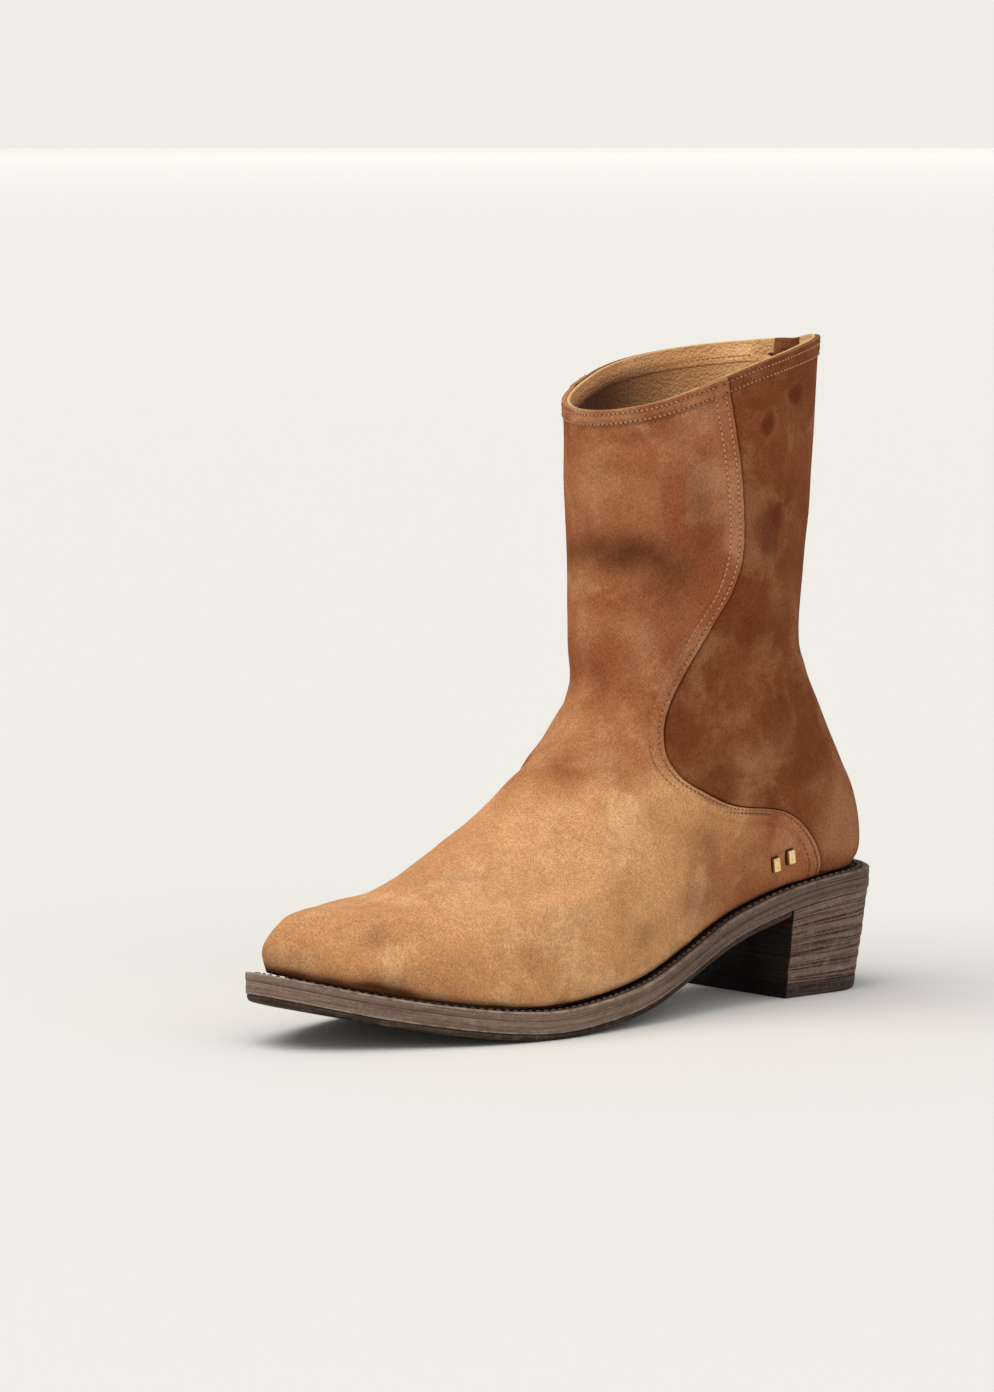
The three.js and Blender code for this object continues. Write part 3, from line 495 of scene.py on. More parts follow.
def needle_holes(run, points, normals, pitch, radius):
    """Points and triangles of the dark lenses between the stitches of one line, which paint the shade in the
    needle holes.
    """
    spots = np.arange(1, int(run[-1] / pitch)) * pitch
    place, out, ahead, side = along_line(run, points, normals, spots)
    place, out = place[:, None], out[:, None]
    forward, sideways = circle(HOLE_SIDES)
    rim = (place + out * 0.03 + ahead[:, None] * (forward * pitch * 0.2)
           + side[:, None] * (sideways * radius * 1.15))
    lens = np.concatenate([rim, place + out * 0.05, place - out * 0.5], 1)
    k = np.arange(HOLE_SIDES)
    after = (k + 1) % HOLE_SIDES
    tris = np.concatenate([np.stack([k, after, 0 * k + HOLE_SIDES], -1),
                           np.stack([after, k, 0 * k + HOLE_SIDES + 1], -1)])
    start = np.arange(len(spots))[:, None, None] * (HOLE_SIDES + 2)
    return lens.reshape(-1, 3), (start + tris).reshape(-1, 3)


def stitching(name, lines, thread, pitch=2.3, radius=0.34, rise=0.2):
    """Every stitch line of one kind as one object of threads and one of needle holes, which are dark lenses of
    painted shade. A line is its points, its normals and, where it has one, its tone."""
    points, quads, caps, tones, dots, tris = [], [], [], [], [], []
    shift = dot_shift = 0
    for number, (line, normals, *fade) in enumerate(lines):
        run = run_length(line)
        seed = number + len(name)
        p, q, c, t = threads(run, line, normals, pitch, radius, rise, seed, fade[0] if fade else None)
        d, f = needle_holes(run, line, normals, pitch, radius)
        for values, more in ((points, p), (quads, q + shift), (caps, c + shift), (tones, t), (dots, d),
                             (tris, f + dot_shift)):
            values.append(more)
        shift += len(p)
        dot_shift += len(d)
    new_object(name, np.concatenate(points), [np.concatenate(quads), np.concatenate(caps)], thread,
               marks={"tone": np.concatenate(tones)}, crease=80)
    new_object(name + "_holes", np.concatenate(dots), [np.concatenate(tris)], HOLE_SHADE, crease=80)


WAIST_SHADE = 0.42


def painted_waist_shade(y):
    """Painted shade on the sole's edge, from the ball of the foot back."""
    return WAIST_SHADE * ease((y + 15) / 50)


def mirrored(values):
    """Values along the outer side, then back along the inner side."""
    return np.concatenate([values, values[::-1]])


def sole_solid(name, profile, first, last, spacing, finish, replaces, rough, seed, steps=170,
               cut_end=False, shaded_waist=0):
    """Layer of the sole or heel. profile runs from the bottom's edge out and up to the top's edge: each entry
    gives an inset, a height over the place, and the marks edge and layer. first and last give the ends for an
    inset; an end that reaches the outline's own end is round, and any other is cut straight across."""
    share = spacing(np.linspace(0, 1, steps + 1))
    loops, edges, layers = [], [], []
    for inset, height, edge, layer in profile:
        start, end = first(inset), last(inset)
        at = start + (end - start) * share
        lateral, medial = outline_at(at, inset)
        z = height(at)
        loop = np.stack([np.concatenate([lateral, medial[::-1]]), mirrored(to_y(at)), mirrored(z)], -1)
        inward = unit(loop * np.array([1, 0.25, 0]))
        dents = rough * np.abs(waves(loop * np.array([1, 1, 2.5]), 7, seed))
        loops.append(loop - inward * dents[:, None])
        edges.append(np.full(len(loop), edge))
        layers.append(mirrored(layer + 0 * at))
    wide, high = len(loops[0]), len(loops)
    index = np.arange(wide * high).reshape(high, wide)
    after = np.roll(index, -1, axis=1)
    walls = np.stack([index[:-1], index[1:], after[1:], after[:-1]], -1).reshape(-1, 4)[:, ::-1]
    half = np.arange(steps)
    cap = np.stack([half, half + 1, wide - 2 - half, wide - 1 - half], -1)
    # Painted shade along the waist, for a layer that takes it.
    painted_shade = shaded_waist * painted_waist_shade(np.stack(loops)[..., 1])
    if cut_end:
        # Painted shade: the heel's breast, the end cut straight across under the arch, is painted near black.
        painted_shade[:, steps:steps + 2] = 0.8, 1
    marks = {"edge": np.concatenate(edges), "layer": np.concatenate(layers), "painted_shade": painted_shade.ravel()}
    new_object(name, np.concatenate(loops), [walls, index[-1][cap][:, ::-1], cap], finish,
               replaces=replaces, marks=marks, crease=50, weld=True)


def both_ends(t):
    return (1 - np.cos(np.pi * t)) / 2


def back_end(t):
    return 1 - np.cos(np.pi * t / 2)


def front_end(t):
    return np.sin(np.pi * t / 2)


# ------------ finishes

def srgb(red, green, blue):
    """Linear colour, with alpha, from the 0 to 255 numbers of a colour chip."""
    def linear(x):
        x = x / 255
        return x / 12.92 if x <= 0.04045 else ((x + 0.055) / 1.055) ** 2.4
    return (linear(red), linear(green), linear(blue), 1.0)


def chips(*colours):
    return [srgb(*colour) for colour in colours]


class Finish:
    """A node material under construction. Sockets are passed from step to step."""

    def __init__(self, name, colour, settings):
        self.material = bpy.data.materials.new(name)
        self.material.use_nodes = True
        self.nodes, self.links = self.material.node_tree.nodes, self.material.node_tree.links
        self.shader = self.nodes["Principled BSDF"]
        self.shader.inputs["Base Color"].default_value = colour
        self.material.diffuse_color = colour
        for socket, value in settings.items():
            self.shader.inputs[socket].default_value = value
        self.coordinates = self.nodes.new("ShaderNodeTexCoord").outputs["Object"]

    def feed(self, socket, value):
        if isinstance(value, bpy.types.NodeSocket):
            self.links.new(value, socket)
        else:
            socket.default_value = value

    def mark(self, name):
        node = self.nodes.new("ShaderNodeAttribute")
        node.attribute_name = name
        return node.outputs["Fac"]

    def stretched(self, stretch):
        node = self.nodes.new("ShaderNodeMapping")
        self.links.new(self.coordinates, node.inputs["Vector"])
        node.inputs["Scale"].default_value = stretch
        return node.outputs["Vector"]

    def layered(self, across, along):
        """Coordinates whose third number is the mark 'layer', for lines that follow the layers."""
        split = self.nodes.new("ShaderNodeSeparateXYZ")
        self.links.new(self.coordinates, split.inputs[0])
        join = self.nodes.new("ShaderNodeCombineXYZ")
        sources = ((split.outputs[0], across), (split.outputs[1], across), (self.mark("layer"), along))
        for socket, (value, scale) in zip(join.inputs, sources):
            self.links.new(self.times(value, scale), socket)
        return join.outputs[0]

    def noise(self, scale, detail=3.0, roughness=0.55, distortion=0.0, vector=None):
        node = self.nodes.new("ShaderNodeTexNoise")
        self.links.new(vector or self.coordinates, node.inputs["Vector"])
        for socket, value in (("Scale", scale), ("Detail", detail), ("Roughness", roughness),
                              ("Distortion", distortion)):
            node.inputs[socket].default_value = value
        return node.outputs["Fac"]

    def cells(self, scale):
        node = self.nodes.new("ShaderNodeTexVoronoi")
        self.links.new(self.coordinates, node.inputs["Vector"])
        node.inputs["Scale"].default_value = scale
        return node.outputs["Distance"]

    def math(self, operation, a, b):
        node = self.nodes.new("ShaderNodeMath")
        node.operation = operation
        self.feed(node.inputs[0], a)
        self.feed(node.inputs[1], b)
        return node.outputs[0]

    def times(self, a, b):
        return self.math("MULTIPLY", a, b)

    def shares(self, a, b, share):
        """Sum of two values, the first counted with a share and the second with the rest."""
        return self.math("ADD", self.times(a, share), self.times(b, 1 - share))

    def level(self, value, low, high, to_low=0.0, to_high=1.0):
        node = self.nodes.new("ShaderNodeMapRange")
        node.interpolation_type = "SMOOTHSTEP"
        for socket, number in zip(node.inputs, (value, low, high, to_low, to_high)):
            self.feed(socket, number)
        return node.outputs[0]

    def marked(self, name, low=0.0):
        """Share that rises smoothly from 0, where the mark is low, to 1 where it is 1."""
        return self.level(self.mark(name), low, 1.0)

    def blend(self, share, a, b, mode="MIX"):
        node = self.nodes.new("ShaderNodeMix")
        node.data_type = "RGBA"
        node.blend_type = mode
        self.feed(node.inputs[0], share)
        self.feed(node.inputs[6], a)
        self.feed(node.inputs[7], b)
        return node.outputs[2]

    def bump(self, height, strength, distance, under=None):
        node = self.nodes.new("ShaderNodeBump")
        node.inputs["Strength"].default_value = strength
        node.inputs["Distance"].default_value = distance
        self.links.new(height, node.inputs["Height"])
        if under:
            self.links.new(under, node.inputs["Normal"])
        return node.outputs["Normal"]

    def done(self, colour=None, roughness=None, normal=None):
        for socket, value in (("Base Color", colour), ("Roughness", roughness), ("Normal", normal)):
            if value is not None:
                self.links.new(value, self.shader.inputs[socket])
        return self.material


def suede(name, shaded, faded, raw, smudge_and_shade):
    """Brushed suede: soft patches of nap, smudged dirt from wear, painted shade and a fine fuzzy grain. shaded
    and faded are each a deep, a middle and a pale colour: the darker nap of the shaft and the paler nap of the
    vamp, which also stand for painted shade and painted light. The mark 'faded' leads from the one to the
    other."""
    f = Finish(name, shaded[1], {"Roughness": 0.95, "Specular IOR Level": 0.04, "Sheen Weight": 0.02,
                                 "Sheen Roughness": 0.5, "Sheen Tint": (1.0, 0.72, 0.5, 1.0)})
    warm = f.level(f.noise(24, 3.0, 0.55, 0.4), 0.36, 0.62)
    dusty = f.level(f.noise(33, 4.0, 0.6, 0.5), 0.48, 0.66)
    mottle = f.level(f.noise(150, 4.0, 0.65, 0.3), 0.3, 0.7, 0.93, 1.07)

    def cloth(deep, mid, pale):
        return f.blend(f.times(dusty, 0.75), f.blend(warm, mid, deep), pale)

    # Painted light: faded takes the darker shaft nap to the paler vamp nap, and lightens surfaces that face
    # up.
    colour = f.blend(f.marked("faded"), cloth(*shaded), cloth(*faded))
    colour = f.blend(f.marked("rub"), colour, f.blend(0.5, shaded[2], faded[2]))
    # tone: dirt and pressed nap, and painted shade by the welt, the stitch lines and the hem.
    colour = f.blend(f.marked("tone"), colour, smudge_and_shade)
    fibres = f.noise(1350, 2.0, 0.75)
    clumps = f.noise(560, 3.0, 0.65, 0.3)
    grain = f.shares(fibres, clumps, 0.85)
    grey = f.times(f.level(grain, 0.34, 0.66, 0.76, 1.24), mottle)
    tint = f.nodes.new("ShaderNodeCombineColor")
    for socket in tint.inputs[:3]:
        f.links.new(grey, socket)
    colour = f.blend(1.0, colour, tint.outputs[0], "MULTIPLY")
    colour = f.blend(f.marked("edge", 0.3), colour, raw)
    normal = f.bump(clumps, 0.22, 0.0005)
    normal = f.bump(fibres, 0.5, 0.00035, normal)
    return f.done(colour, None, normal)


def leather(name, pale, deep, raw, worn):
    """Pebbled glove leather for the lining; the mark 'tone' paints shade on it, in the colour worn."""
    f = Finish(name, pale, {"Roughness": 0.62, "Specular IOR Level": 0.35, "Sheen Weight": 0.1})
    clouds = f.noise(30, 4.0, 0.6, 0.4)
    pebbles = f.cells(850)
    colour = f.blend(f.level(clouds, 0.35, 0.65), deep, pale)
    colour = f.blend(f.level(pebbles, 0.3, 0.7, 0.0, 0.6), colour, deep)
    colour = f.blend(f.mark("tone"), colour, worn)
    colour = f.blend(f.marked("edge", 0.3), colour, raw)
    normal = f.bump(f.math("SUBTRACT", 1.0, pebbles), 0.8, 0.0006)
    normal = f.bump(f.noise(2200, 2.0), 0.3, 0.0002, normal)
    return f.done(colour, f.level(clouds, 0.3, 0.7, 0.55, 0.72), normal)


def sole_leather(name, deep, mid, pale, dark):
    """Cut edge of stacked leather: fine dark and light lines along its layers, scuffed where the mark 'edge'
    says so, and painted dark as shade where the mark 'painted_shade' does."""
    f = Finish(name, mid, {"Roughness": 0.7, "Specular IOR Level": 0.12})
    lines = f.noise(1.0, 3.0, 0.6, 0.25, f.layered(16, 860))
    fine = f.noise(1.0, 3.0, 0.7, 0.2, f.layered(40, 2600))
    clouds = f.noise(60, 4.0, 0.65, 0.4)
    specks = f.noise(750, 3.0, 0.7)
    colour = f.blend(f.level(lines, 0.41, 0.56), deep, mid)
    colour = f.blend(f.level(fine, 0.5, 0.72, 0.0, 0.55), colour, pale)
    colour = f.blend(f.level(clouds, 0.45, 0.7, 0.0, 0.22), colour, deep)
    colour = f.blend(f.level(f.noise(160, 3.0, 0.7), 0.52, 0.72, 0.0, 0.3), colour, pale)
    colour = f.blend(f.level(specks, 0.5, 0.66, 0.0, 0.3), colour, deep)
    colour = f.blend(f.level(specks, 0.3, 0.45, 0.3, 0.0), colour, pale)
    rim = f.times(f.marked("edge", 0.2), f.level(f.noise(210, 3.0, 0.6), 0.3, 0.62))
    colour = f.blend(f.times(rim, 0.75), colour, pale)
    colour = f.blend(f.marked("painted_shade"), colour, dark)
    normal = f.bump(lines, 0.5, 0.0005)
    normal = f.bump(f.noise(900, 3.0, 0.6), 0.35, 0.0003, normal)
    return f.done(colour, f.level(clouds, 0.3, 0.7, 0.62, 0.85), normal)


def grained(name, deep, pale, roughness, scale, strength, specular=0.4, metallic=0.0):
    """Two-tone speckled finish with a fine bump: board, cork, the painted shade of a needle hole, brushed or
    plated metal.
    """
    f = Finish(name, pale, {"Metallic": metallic, "Specular IOR Level": specular})
    grain = f.noise(scale, 4.0, 0.65, 0.2)
    clouds = f.noise(scale * 0.12, 3.0, 0.6)
    colour = f.blend(f.level(f.shares(grain, clouds, 0.6), 0.38, 0.62), deep, pale)
    return f.done(colour, f.level(clouds, 0.35, 0.65, roughness - 0.07, roughness + 0.07),
                  f.bump(grain, strength, 0.0003))


def thread_finish(name, pale, dark):
    """Waxed thread, dirty in places; the mark 'tone' takes it from pale to dark."""
    f = Finish(name, pale, {"Roughness": 0.6, "Specular IOR Level": 0.35, "Sheen Weight": 0.2})
    colour = f.blend(f.marked("tone"), pale, dark)
    dirt = f.noise(420, 3.0, 0.6)
    colour = f.blend(f.level(dirt, 0.5, 0.75, 0.0, 0.45), colour, dark)
    return f.done(colour, None, f.bump(f.noise(2600, 2.0), 0.5, 0.0003))


def woven(name, deep, pale):
    """Zip tape: a fine herringbone."""
    f = Finish(name, deep, {"Roughness": 0.85, "Specular IOR Level": 0.2, "Sheen Weight": 0.2})
    wave = f.nodes.new("ShaderNodeTexWave")
    wave.inputs["Scale"].default_value = 600
    wave.inputs["Distortion"].default_value = 1.5
    f.links.new(f.stretched((1, 0.2, 1)), wave.inputs["Vector"])
    colour = f.blend(f.level(wave.outputs["Fac"], 0.2, 0.8), deep, pale)
    return f.done(colour, None, f.bump(wave.outputs["Fac"], 0.6, 0.0002))


LIGHT_SUEDE = suede("light suede", chips((146, 84, 50), (162, 103, 67), (180, 126, 90)),
                    chips((200, 145, 98), (213, 160, 112), (224, 176, 130)),
                    *chips((176, 126, 92), (84, 47, 28)))
DARK_SUEDE = suede("dark suede", chips((116, 61, 34), (129, 74, 43), (151, 100, 67)),
                   chips((130, 78, 46), (146, 94, 60), (166, 118, 84)), *chips((136, 90, 60), (80, 32, 14)))
# The lining's last colour is painted shade, for the inside of the shaft.
LINING = leather("lining leather", *chips((242, 196, 140), (214, 158, 104), (226, 184, 118), (84, 46, 20)))
# The last colour of each sole finish is painted shade.
EDGE_LEATHER = sole_leather("sole leather",
                            *chips((102, 83, 71), (128, 107, 94), (172, 153, 138), (30, 20, 15)))
# Its last colour, near black, paints the shade on the heel's breast.
HEEL_LEATHER = sole_leather("heel leather", *chips((60, 42, 34), (124, 102, 89), (166, 147, 133), (10, 5, 4)))
WORN_RUBBER = sole_leather("worn rubber", *chips((40, 31, 27), (62, 49, 42), (124, 105, 90), (12, 9, 8)))
BOARD = grained("fibre board", *chips((120, 98, 70), (165, 142, 108)), 0.9, 500, 0.3)
CORK = grained("cork", *chips((110, 76, 44), (180, 138, 92)), 0.9, 260, 0.6)
STEEL = grained("spring steel", *chips((120, 124, 130), (175, 178, 182)), 0.35, 700, 0.1, 0.5, 1.0)
GOLD = grained("gold plate", *chips((232, 196, 132), (252, 228, 176)), 0.32, 500, 0.05, 0.5, 1.0)
NICKEL = grained("black nickel", *chips((48, 46, 46), (86, 82, 80)), 0.3, 600, 0.08, 0.5, 1.0)
TAPE = woven("zip tape", *chips((20, 18, 18), (44, 40, 38)))
THREAD = thread_finish("pale thread", *chips((200, 148, 108), (98, 60, 37)))
DARK_THREAD = thread_finish("brown thread", *chips((184, 126, 84), (86, 50, 31)))
WELT_THREAD = thread_finish("welt thread", *chips((96, 72, 55), (38, 26, 20)))
# Dark colour of painted shade, for the needle holes and round the studs.
HOLE_SHADE = grained("needle hole", *chips((40, 22, 14), (66, 38, 24)), 0.95, 800, 0.2)

# ------------ upper: suede panels

# Smudges of dirt, and painted shade where some sit in the ankle's folds and dents: place (u, v), half width
# across, half height, strength.
SMUDGES_AND_SHADE = [
    (0.452, 0.884, 18, 11, 0.56), (0.41, 0.878, 14, 9, 0.26), (0.47, 0.962, 13, 8, 0.12),
    (0.36, 0.86, 13, 14, 0.45), (0.334, 0.92, 9, 18, 0.46), (0.395, 0.985, 16, 9, 0.3),
    (0.434, 0.628, 12, 8, 0.22), (0.448, 0.456, 16, 5, 0.22), (0.403, 0.2, 7, 5, 0.3),
    (0.341, 0.414, 11, 5, 0.2), (0.39, 0.19, 18, 8, 0.14), (0.45, 0.09, 18, 8, 0.2),
    (0.4, 0.03, 30, 6, 0.42), (0.245, 0.15, 13, 8, 0.4), (0.207, 0.14, 16, 9, 0.42),
    (0.212, 0.32, 13, 13, 0.3), (0.174, 0.18, 13, 13, 0.26), (0.5, 0.1, 16, 9, 0.2),
    (0.34, 0.79, 8, 18, 0.2), (0.31, 0.88, 7, 18, 0.2), (0.245, 0.675, 9, 10, 0.14),
    (0.233, 0.567, 12, 8, 0.3), (0.55, 0.88, 13, 8, 0.4), (0.6, 0.66, 12, 9, 0.3),
    (0.66, 0.45, 15, 7, 0.25), (0.76, 0.3, 15, 9, 0.3), (0.84, 0.15, 24, 12, 0.3),
    (0.77, 0.6, 14, 12, 0.3), (0.61, 0.94, 15, 9, 0.2), (0.54, 0.3, 9, 6, 0.2),
]
# Pressed nap with a clear outline, given in the same way.
SPOTS = [
    (0.245, 0.956, 4.2, 6, 0.6), (0.197, 0.969, 6, 4.2, 0.55), (0.229, 0.885, 10, 12, 0.56),
    (0.225, 0.935, 7, 7, 0.3), (0.262, 0.972, 6, 4, 0.3), (0.24, 0.8, 8, 8, 0.24), (0.15, 0.9, 7, 9, 0.28),
    (0.3, 0.65, 10, 9, 0.36), (0.225, 0.5, 14, 8, 0.34), (0.185, 0.62, 9, 12, 0.3), (0.13, 0.44, 9, 8, 0.22),
    (0.76, 0.95, 5, 7, 0.6), (0.79, 0.88, 8, 11, 0.5), (0.82, 0.96, 5, 4, 0.5), (0.74, 0.84, 6, 8, 0.35),
    (0.8, 0.6, 12, 10, 0.3), (0.87, 0.45, 9, 9, 0.25),
]
SPOT_CRISPNESS = 7               # power of the fall from a spot's middle to its outside
# Pale patches where the nap is rubbed, given in the same way.
RUBS = [
    (0.43, 0.94, 14, 8, 0.3), (0.5, 0.72, 9, 7, 0.3), (0.40, 0.39, 26, 16, 0.4), (0.385, 0.48, 22, 12, 0.35),
    (0.33, 0.33, 24, 12, 0.3), (0.263, 0.388, 10, 8, 0.5), (0.38, 0.73, 9, 7, 0.25), (0.6, 0.4, 24, 14, 0.3),
    (0.3, 0.28, 20, 9, 0.3), (0.22, 0.74, 10, 8, 0.25), (0.5, 0.3, 26, 10, 0.2), (0.394, 0.8, 11, 12, 0.42),
    (0.085, 0.27, 15, 15, 0.75), (0.12, 0.36, 9, 9, 0.35), (0.1, 0.14, 18, 11, 0.75),
    (0.915, 0.27, 15, 15, 0.6), (0.49, 0.96, 9, 30, 0.3), (0.385, 0.63, 14, 7, 0.45),
    (0.5, 0.79, 8, 12, 0.3), (0.29, 0.785, 8, 9, 0.45), (0.174, 0.56, 13, 13, 0.45),
    (0.197, 0.83, 9, 9, 0.35), (0.211, 0.965, 7, 5, 0.3), (0.478, 0.818, 10, 8, 0.3),
    (0.9, 0.14, 18, 11, 0.6),
]
RING_SIZE, RING_WIDTH = 1.22, 0.13     # of the pale ring round a spot, for a spot of size 1


def patches(points, spots, shape):
    """Sum of the spots' strengths, each times shape(x) of the distance x from its middle in half widths."""
    total = np.zeros(points.shape[:-1])
    for u, v, across, high, strength in spots:
        away = points - upper_point(u, v)
        square = (away[..., 0] ** 2 + away[..., 1] ** 2) / across ** 2 + away[..., 2] ** 2 / high ** 2
        total = total + strength * shape(np.sqrt(square))
    return total


def soft(x):
    return np.exp(-x ** 2)


def crisp(x):
    return np.exp(-x ** SPOT_CRISPNESS)


def pale_ring(x):
    """Pale ring just outside a spot, where the nap dried lighter."""
    return hump(x - RING_SIZE, RING_WIDTH)


def suede_marks(points, u, v, edge, seam_shade=0.0):
    """Numbers that the suede reads: tone (dirt, pressed nap, and painted shade along the welt, the panel edges
    and the stitch lines), rub, faded (paler vamp nap and painted light on surfaces facing up) and edge (raw
    cut).
    """
    wander = 0.5 + 0.5 * waves(points, 17, 11)
    strayed = points + 1.1 * np.stack([waves(points, 16, k) for k in (21, 22, 23)], -1)
    smudges_and_shade = clamp01(patches(mix(points, strayed, 0.4), SMUDGES_AND_SHADE, soft)) * (0.92 + 0.16 * wander)
    above = v * rise_length(0.3, 0.05)
    toe = ease((0.2 - from_toe(u)) / 0.1)
    # Painted shade: a dark band just above the welt, wider at the toe, fading up the foot.
    welt_shade = 0.85 * (1 - ease((above - 1) / (3.5 + 3 * toe))) + 0.12 * (1 - ease(v / 0.17))
    tone = smudges_and_shade + clamp01(patches(strayed, SPOTS, crisp)) + welt_shade * (0.6 + 0.4 * wander) + seam_shade
    # faded: paler nap on the vamp, plus painted light on surfaces that face up.
    vamp = ease((0.645 - v) / 0.11) * ease((from_back(u) - 0.13) / 0.11)
    faded = 0.86 * vamp + 0.35 * ease(upper_normal(u, v)[..., 2] / 0.6) + 0.12 * waves(points, 34, 6)
    hem = 0.3 * ease(HEM + 0.4 - (1 - v) * COLLAR_RISE)
    rub = clamp01(patches(strayed, RUBS, soft)) * (0.8 + 0.3 * wander)
    rub = rub + (0.55 * patches(strayed, SPOTS, pale_ring) + hem) * wander
    return {"tone": clamp01(tone), "rub": clamp01(rub), "faded": clamp01(faded), "edge": edge}


def near_lines(distance, lines, width):
    """Humps along stitch lines at given distances from an edge."""
    return sum(hump(distance - line, width) for line in lines)


def stitch_press(distance, lines):
    """How far stitch lines press the leather down."""
    return -0.22 * near_lines(distance, lines, 0.75)


# Extra rows of points, as distances from the edge, where it is rounded, stitched or folded.
COLLAR_FINE = (0, 0.04, 0.14, 0.3, 0.55, 0.9, 1.4, 1.9, 2.3, 2.7, 3.2, 3.9, 4.7, 5.4, 5.9, 6.3, 6.6, 6.85,
               7.1, 7.4, 7.9, 8.8, 10)
SUEDE_ROWS = rows_between(FOOT, 1, 1.45, COLLAR_FINE, (0, 0.05, 0.15, 0.35, 0.6, 1.0))
SEAM_LINES = (2.0, 6.4)          # stitch lines, from the edge that they follow
COLLAR_LINES = (2.3, 6.3)
BACK_LINE = 2.5
HEM = 7.1                        # height of the collar's folded hem
FOOT_RISE = 190                  # millimetres of leather for one unit of v near the foot
EDGE_ROUNDING = 0.55
BACK_ROUNDING = 0.6
EDGE_STEPS = (0, 0.04, 0.14, 0.3, 0.55, 0.9, 1.3, 1.65, 2, 2.35, 2.8, 3.5, 4.3, 5.2, 5.8, 6.4, 7, 7.8, 9,
              10.5, 12, 13.5, 15, 16.5, 18)


def edge_distance(v):
    """Distances below the collar and above the feather line."""
    return (1 - v) * COLLAR_RISE, (v - FOOT) * FOOT_RISE


def front_columns(v):
    side = np.concatenate([past_edge(v, d) for d in EDGE_STEPS], axis=1)
    start = side[:, -1:]
    inner = start + (1 - 2 * start) * np.linspace(0, 1, 250)[1:-1]
    return np.concatenate([side, inner, 1 - side[:, ::-1]], axis=1)


def stud_dimples(points):
    shift = np.zeros(points.shape[:-1])
    for u, v in STUD_PLACES:
        shift -= 0.3 * hump(length(points - upper_point(u, v)), 3.4)
    return shift


def hem_rise(below):
    """Extra thickness of the folded hem along the collar."""
    return 0.45 * ease((HEM - below) / 0.5) + 0.16 * hump(below - 4.3, 1.3)


def front_outer(u, v, points):
    side = seam_distance(points)
    below, above = edge_distance(v)
    depth = lap_rise(side) - sum(rolled(far, EDGE_ROUNDING) for far in (side, below, above))
    depth = depth + stitch_press(side, SEAM_LINES) + stitch_press(below, COLLAR_LINES)
    depth = depth + 0.14 * hump(side - 4.2, 1.3) + hem_rise(below)
    return depth + stud_dimples(points)


def front_inner(u, v, points):
    return lap_rise(seam_distance(points)) - SUEDE


def raw_edge(distance):
    """Mark of the cut edge of the suede."""
    return clamp01(1.3 - distance / 0.3)


def front_marks(u, v, points):
    side = seam_distance(points)
    below, _ = edge_distance(v)
    # Painted shade along the stitch lines, and just below the hem's edge.
    seam_shade = 0.16 * (near_lines(side, SEAM_LINES, 1.0) + near_lines(below, COLLAR_LINES, 1.2))
    seam_shade = seam_shade + 0.3 * hump(below - HEM - 0.35, 0.5)
    return suede_marks(points, u, v, raw_edge(np.minimum(side, below)), seam_shade)


shell("front_panel_suede", SUEDE_ROWS, front_columns, front_outer, front_inner, LIGHT_SUEDE,
      ["front_panel"], front_marks)

ZIP_STEPS = (0, 0.05, 0.16, 0.34, 0.6, 1.0, 1.6, 2.2, 2.8, 3.4, 4.4, 6, 8, 10, 11.2, 12, 12.8, 13.6, 15)
LAP_STEPS = (-8, -6, -4.5, -3.2, -2.2, -1.5, -1.0, -0.6, -0.25, 0.05, 1, 4, 8, 12)
LAP_SINKING = 1.3                # distance over which a quarter sinks on its way under the lap
LAP_OUTER, LAP_INNER = -1.12, -1.8     # depths of its two faces there


def quarter_columns(side):
    def columns(v):
        back = np.concatenate([across_back(back_half_gap(v) + d, v) for d in ZIP_STEPS], axis=1)
        front = np.concatenate([past_edge(v, d) for d in LAP_STEPS], axis=1)
        start, end = back[:, -1:], front[:, :1]
        inner = start + (end - start) * np.linspace(0, 1, 62)[1:-1]
        outward = np.concatenate([back, inner, front], axis=1)
        return outward if side > 0 else -outward[:, ::-1]
    return columns


def behind_edge(u, v):
    """Distance from the front panel's edge, positive under the lap."""
    start = front_edge(v)
    return (np.abs(u) - start) * length(upper_point(start, v) - upper_point(start - EDGE_STEP, v)) / EDGE_STEP


def under_lap(u, v, open_depth, lap_depth):
    """Depth of a quarter's face, which changes on its way under the front panel."""
    return mix(open_depth, lap_depth, ease((behind_edge(u, v) + LAP_SINKING) / LAP_SINKING))


def back_distance(v, points):
    """Distance from the panel's back edge, beside the zip and the back seam."""
    return np.abs(points[..., 0] - upper_point(0, v)[..., 0]) - back_half_gap(v)


def quarter_outer(u, v, points):
    open_air = behind_edge(u, v) < 0
    below, above = edge_distance(v)
    back = back_distance(v, points)
    depth = under_lap(u, v, 0, LAP_OUTER) - rolled(back, BACK_ROUNDING) - rolled(above, EDGE_ROUNDING)
    collar = stitch_press(below, COLLAR_LINES) + hem_rise(below) - rolled(below, EDGE_ROUNDING)
    over_tape = 0.35 * ease((v - 0.76) / 0.03) * ease((13 - back) / 1.6)
    return depth + collar * open_air + over_tape + stitch_press(back, (BACK_LINE,))


def quarter_inner(u, v, points):
    return under_lap(u, v, -SUEDE, LAP_INNER)


